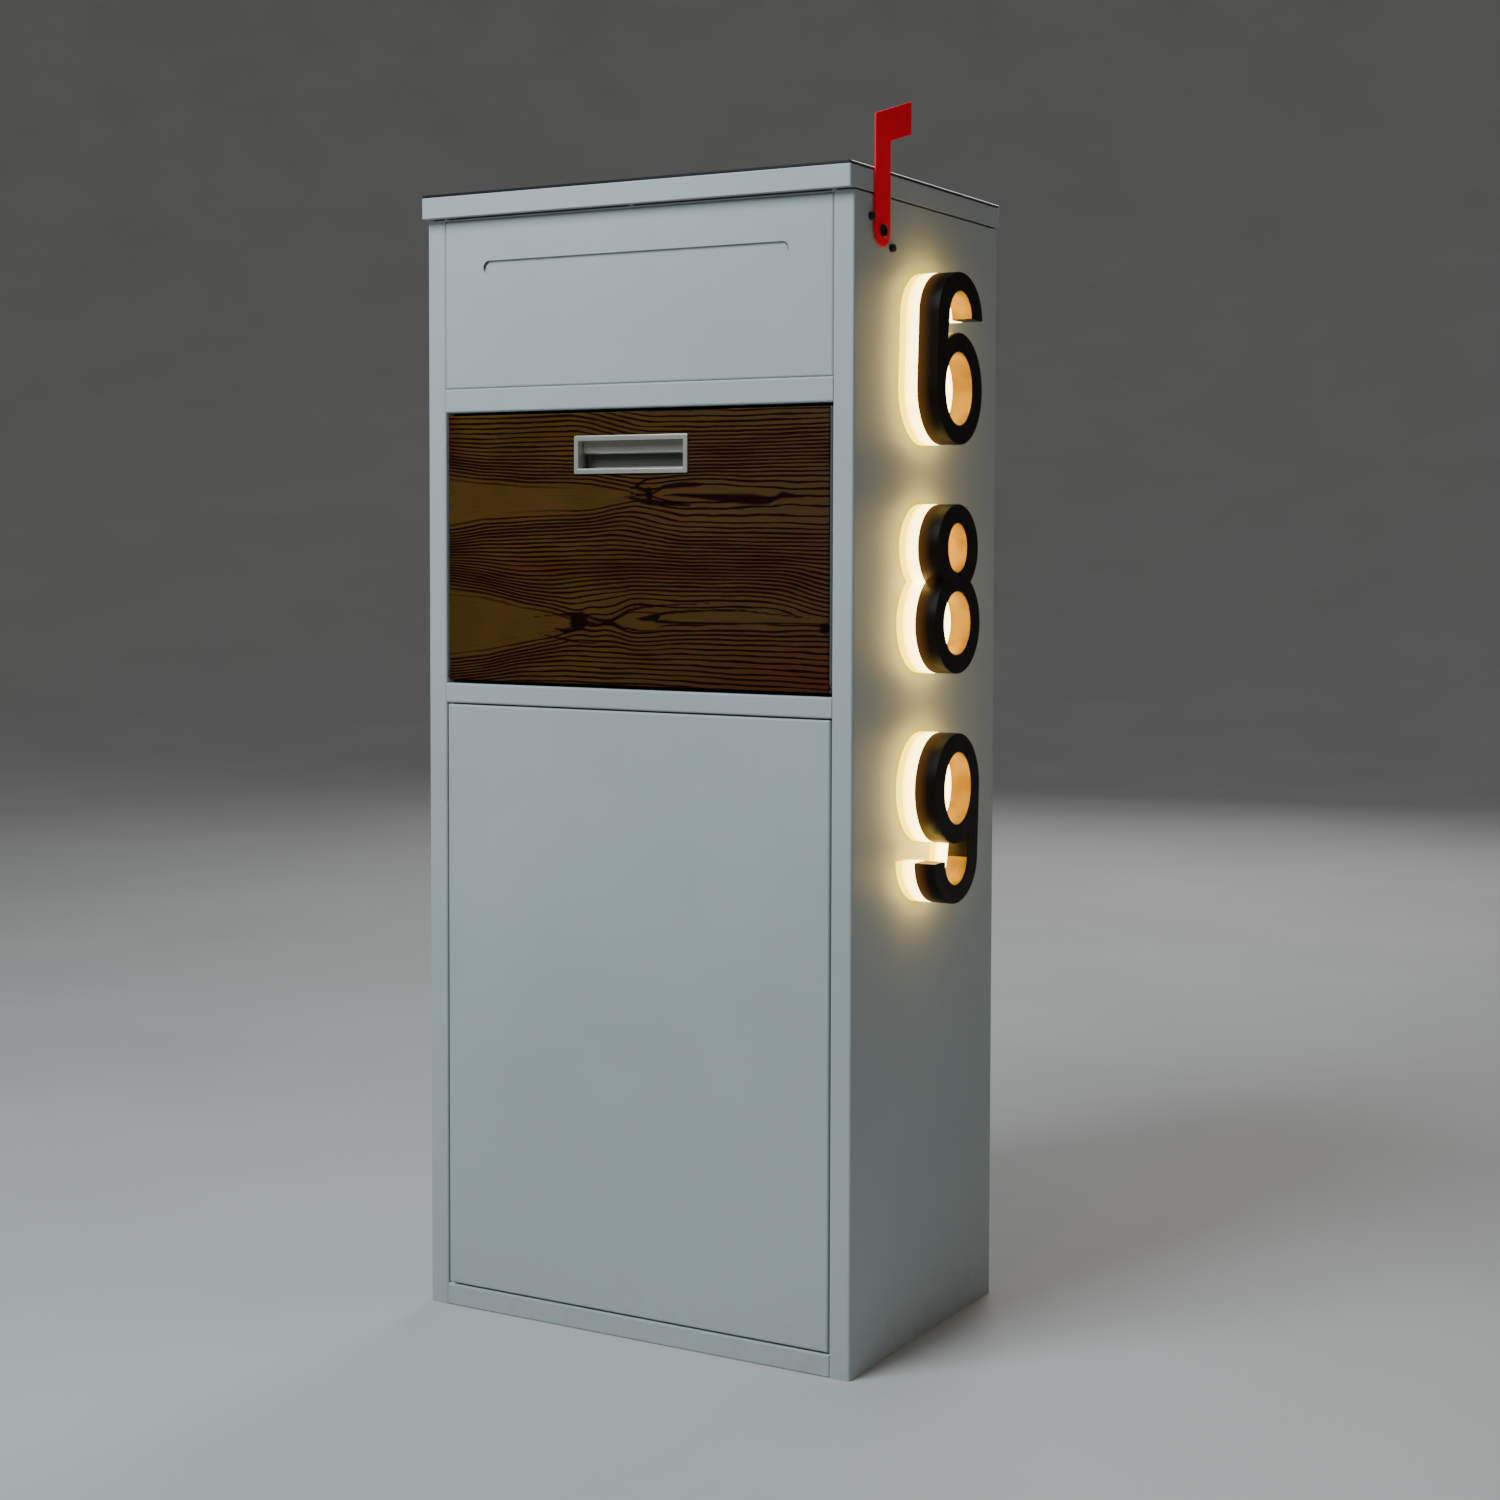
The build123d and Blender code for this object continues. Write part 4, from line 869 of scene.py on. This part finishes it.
# %% Screw and rivet heads
def head(centre, axis, radius, height, recess=0.0, turn=0.3, rings=12, count=48):
    """Grid of a domed head: height times (0.45 + 0.55 sqrt(1 - r cubed)), less a cross recess deep."""
    radii = np.concatenate([np.linspace(0.02, 0.9, rings), [0.95, 0.985, 1.0, 1.0]])
    angle = np.linspace(0, 2 * pi, count, endpoint=False)
    r, a = np.meshgrid(radii, angle, indexing="ij")
    up = height * (0.45 + 0.55 * np.sqrt(np.clip(1 - r**3, 0, 1)))
    along, aside = r * np.cos(a + turn), r * np.sin(a + turn)
    slot = np.minimum(np.abs(along), np.abs(aside))
    cross = step_up(slot, 0.17, 0.08) * step_up(r, 0.62, 0.5)
    up = up - recess * cross
    up[-1] = 0.0
    side, other, axis = across(axis)
    flat = radius * r[..., None] * (np.cos(a)[..., None] * side + np.sin(a)[..., None] * other)
    return np.array(centre) + up[..., None] * axis + flat


outwards, rearwards = (1, 0, 0), (0, 1, 0)
sheet = 1.2 * MM

screw_low, screw_high = box("flag_screw")
head_height, shank_radius = 2.4 * MM, 2.4 * MM
head_x = screw_high[0] - head_height
screw_y, screw_z = ((screw_low + screw_high) / 2)[1:]
shank = [(screw_low[0], shank_radius), (head_x, shank_radius)]
surface(
    "flag_pivot_screw",
    [
        head((head_x, screw_y, screw_z), outwards, 5.75 * MM, head_height, 1.4 * MM),
        turned(shank, (0, screw_y, screw_z), outwards),
    ],
    "screw_black",
    "cabinet",
    ["flag_screw"],
    50,
)

rear_low, rear_high = box("back_rivets")
rivet_radius = 3 * MM
rivet_z = np.linspace(rear_low[2] + rivet_radius, rear_high[2] - rivet_radius, 7)
rivet_x = rear_high[0] - rivet_radius
surface(
    "rear_rivet_heads",
    [
        head((x, rear_low[1], z), rearwards, rivet_radius, 1.2 * MM, count=20, rings=6)
        for x in (-rivet_x, rivet_x)
        for z in rivet_z
    ],
    "zinc_steel",
    "cabinet",
    ["back_rivets"],
)

leaf_low, leaf_high = box("hinge_base_leaf")
screw_x = np.linspace(leaf_low[0] + 25 * MM, leaf_high[0] - 25 * MM, 5)


def hinge_screws(name, body, wall, z, radius, height, recess, spin):
    """A row of small screws on a leaf that lies on a wall; spin turns each cross differently."""
    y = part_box(wall)[1][1] + sheet
    heads = [head((x, y, z), rearwards, radius, height, recess, x * spin, 8, 32) for x in screw_x]
    surface(name, heads, "zinc_steel", body)


base_screw_z = leaf_low[2] + 9 * MM
lid_screw_z = box("hinge_lid_leaf")[1][2] - 5 * MM
hinge_screws("hinge_base_screws", "cabinet", "back_panel", base_screw_z, 3.4 * MM, 1.6 * MM, 0.9 * MM, 9)
hinge_screws("hinge_lid_screws", "lid", "lid_cap", lid_screw_z, 3.0 * MM, 1.4 * MM, 0.8 * MM, 7)

# %% [markdown]
# ## Seals and bumpers
# A rubber bulb runs round the rain collar and the lid closes down on it. It is a circle carried
# round a rounded rectangle, and it joins up with itself, so it has no ends to cap. Four white nylon
# buttons, domes again, keep the lower door quiet when it shuts.

# %% Seal and buttons
collar_high = box("top_frame")[1]
collar_inset, collar_corner = 8.0 * MM, 4 * MM
bulb, flattened = 2.0 * MM, 0.9


def collar_seal():
    """A circle, cut flat below where it sits, carried round the collar's upper edge."""
    angle = np.linspace(0, 2 * pi, 16, endpoint=False)
    outward = bulb * np.cos(angle)
    half_x, half_y = collar_high[:2] - collar_inset - sheet / 2
    paths = rounded_rectangles(half_x + outward, half_y + outward, collar_corner + outward)
    height = collar_high[2] + bulb * (flattened + np.maximum(np.sin(angle), -flattened))
    rings = np.dstack([paths, np.broadcast_to(height[:, None], paths.shape[:2])])
    points = rings.transpose(1, 0, 2).reshape(-1, 3)
    faces = quads(paths.shape[1] + 1, len(angle), True) % len(points)
    if enclosed(points, faces) < 0:
        faces = faces[:, ::-1]
    piece("collar_bulb_seal", points, faces.tolist(), "rubber_black", "cabinet")


collar_seal()

door_low, door_high = box("lower_door_panel")
door_inner = door_low[1] + sheet
from_side, from_end = 14 * MM, 60 * MM
surface(
    "door_buttons",
    [
        head((x, door_inner, z), rearwards, 4.5 * MM, 2.6 * MM, count=24, rings=6)
        for x in (door_low[0] + from_side, door_high[0] - from_side)
        for z in (door_low[2] + from_end, door_high[2] - from_end)
    ],
    "plastic_white",
    "lower_door",
)

# %% [markdown]
# ## Brass liners
# Inside each loop of a numeral the shell's wall is bare brass, so it shines gold in the light of the
# opal behind it. A liner is an ellipse, or part of one for the open hook, drawn out along X as a
# thin sleeve. The ellipses are the numeral's own counters, a hair smaller.


# %% Brass liners
def sleeve(name, centre, radii, start, end):
    """Part of an elliptical sleeve along X: centre + radii * (cos, sin) of the angle, outside and in."""
    shell_low, shell_high = box(f"numeral_{name}_shell")
    middle = (shell_low + shell_high)[1:] / 2 + np.array(centre) * MM
    closed = end - start >= 360
    angle = np.radians(np.linspace(start, end, 72, endpoint=not closed))
    circle = np.column_stack([np.cos(angle), np.sin(angle)])
    outer, inner = (middle + circle * (np.array(radii) - gap) * MM for gap in (0.06, 0.5))
    loop = np.stack([outer, inner, inner, outer], axis=1)
    rear, front = shell_low[0] + 0.2 * MM, shell_high[0] - 0.3 * MM
    depth = np.broadcast_to([rear, rear, front, front], loop.shape[:2])
    grid = np.dstack([depth, loop])
    return np.concatenate([grid, grid[:1]]) if closed else grid


# Each counter: its centre from the middle of its numeral and its half widths, both (Y, Z) in
# millimetres, and the angles in degrees that it runs between
counters = {
    "six": [((-1.4, -26.6), (26.5, 32.4), 0, 360), ((1.5, 36.0), (22.0, 23.3), 2, 150)],
    "eight": [((-1.2, -30.0), (27.0, 28.4), 0, 360), ((-1.2, 36.4), (19.4, 22.0), 0, 360)],
    "nine": [((1.4, 26.6), (26.5, 32.4), 0, 360), ((-1.5, -36.0), (22.0, 23.3), 182, 358)],
}
for digit, holes in counters.items():
    sleeves = [sleeve(digit, *hole) for hole in holes]
    surface(f"liner_{digit}", sleeves, "numeral_black", "cabinet", paint=warm_brass)


# %% [markdown]
# ## Numeral shells
# The black shells are folded metal letters. A crisp but not razor-sharp front edge is what catches
# a thin highlight, so each shell is copied, its triangles are merged and a small bevel is cut on it.
# The flag is stamped from thin plate and gets a smaller bevel in the same way.


# %% Bevelled shells
def softened(node_name, name, width, body):
    """A merged copy of a frame part with a small bevel on its sharp edges."""
    mesh = frame["nodes"][node_name].data.copy()
    mesh.name = name
    made = bpy.data.objects.new(name, mesh)
    bpy.context.scene.collection.objects.link(made)
    weld = made.modifiers.new("weld", "WELD")
    weld.merge_threshold = 0.01 * MM
    flat = made.modifiers.new("flat", "DECIMATE")
    flat.decimate_type, flat.angle_limit = "DISSOLVE", radians(0.5)
    bevel = made.modifiers.new("bevel", "BEVEL")
    bevel.width, bevel.segments = width, 2
    bevel.limit_method, bevel.angle_limit = "ANGLE", radians(50)
    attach(made, body)
    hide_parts(node_name)
    print(name, "bevelled by", width / MM, "mm")


for digit in ("six", "eight", "nine"):
    softened(f"numeral_{digit}_shell", f"shell_{digit}", 0.5 * MM, "cabinet")
softened("flag", "flag_plate", 0.3 * MM, "flag")

# %% [markdown]
# ## Studio floor
# The floor is a wide shallow bowl: flat where the box stands, then curving up far away, so no
# horizon line cuts the picture. It is stage, not object, and comes last.


# %% Floor
def cove():
    """Height over a polar grid: zero out to the flat radius, then rising as a quarter circle."""
    flat_radius, rise, sectors = 5.0, 9.0, 96
    bend = np.linspace(0, pi / 2, 24)
    flat_part = np.linspace(0.05, flat_radius, 12)[:-1]
    radius = np.concatenate([flat_part, flat_radius + rise * np.sin(bend)])
    height = np.concatenate([np.zeros(len(flat_part)), rise * (1 - np.cos(bend))])
    angle = np.linspace(0, 2 * pi, sectors, endpoint=False)
    r, a = np.meshgrid(radius, angle, indexing="ij")
    points = np.stack([r * np.cos(a), r * np.sin(a), np.broadcast_to(height[:, None], r.shape)], axis=-1)
    faces = [*quads(len(radius), sectors, True).tolist(), list(range(sectors))]
    mesh = bpy.data.meshes.new("floor")
    mesh.from_pydata(points.reshape(-1, 3).tolist(), [], faces)
    mesh.polygons.foreach_set("use_smooth", np.ones(len(mesh.polygons), dtype=bool))
    return mesh


floor_finish = Finish("pale_floor", Roughness=0.65, Specular_IOR_Level=0.3)
floor_clouds = floor_finish.between(floor_finish.noise(0.5, 3.0), 0.3, 0.7)
floor_finish.set(Base_Color=floor_finish.blend(floor_clouds, rgb(0.56, 0.555, 0.55), rgb(0.6, 0.595, 0.59)))
floor = bpy.data.objects.new("floor", cove())
floor.data.materials.append(floor_finish.material)
bpy.context.scene.collection.objects.link(floor)
print("floor of", len(floor.data.polygons), "faces")
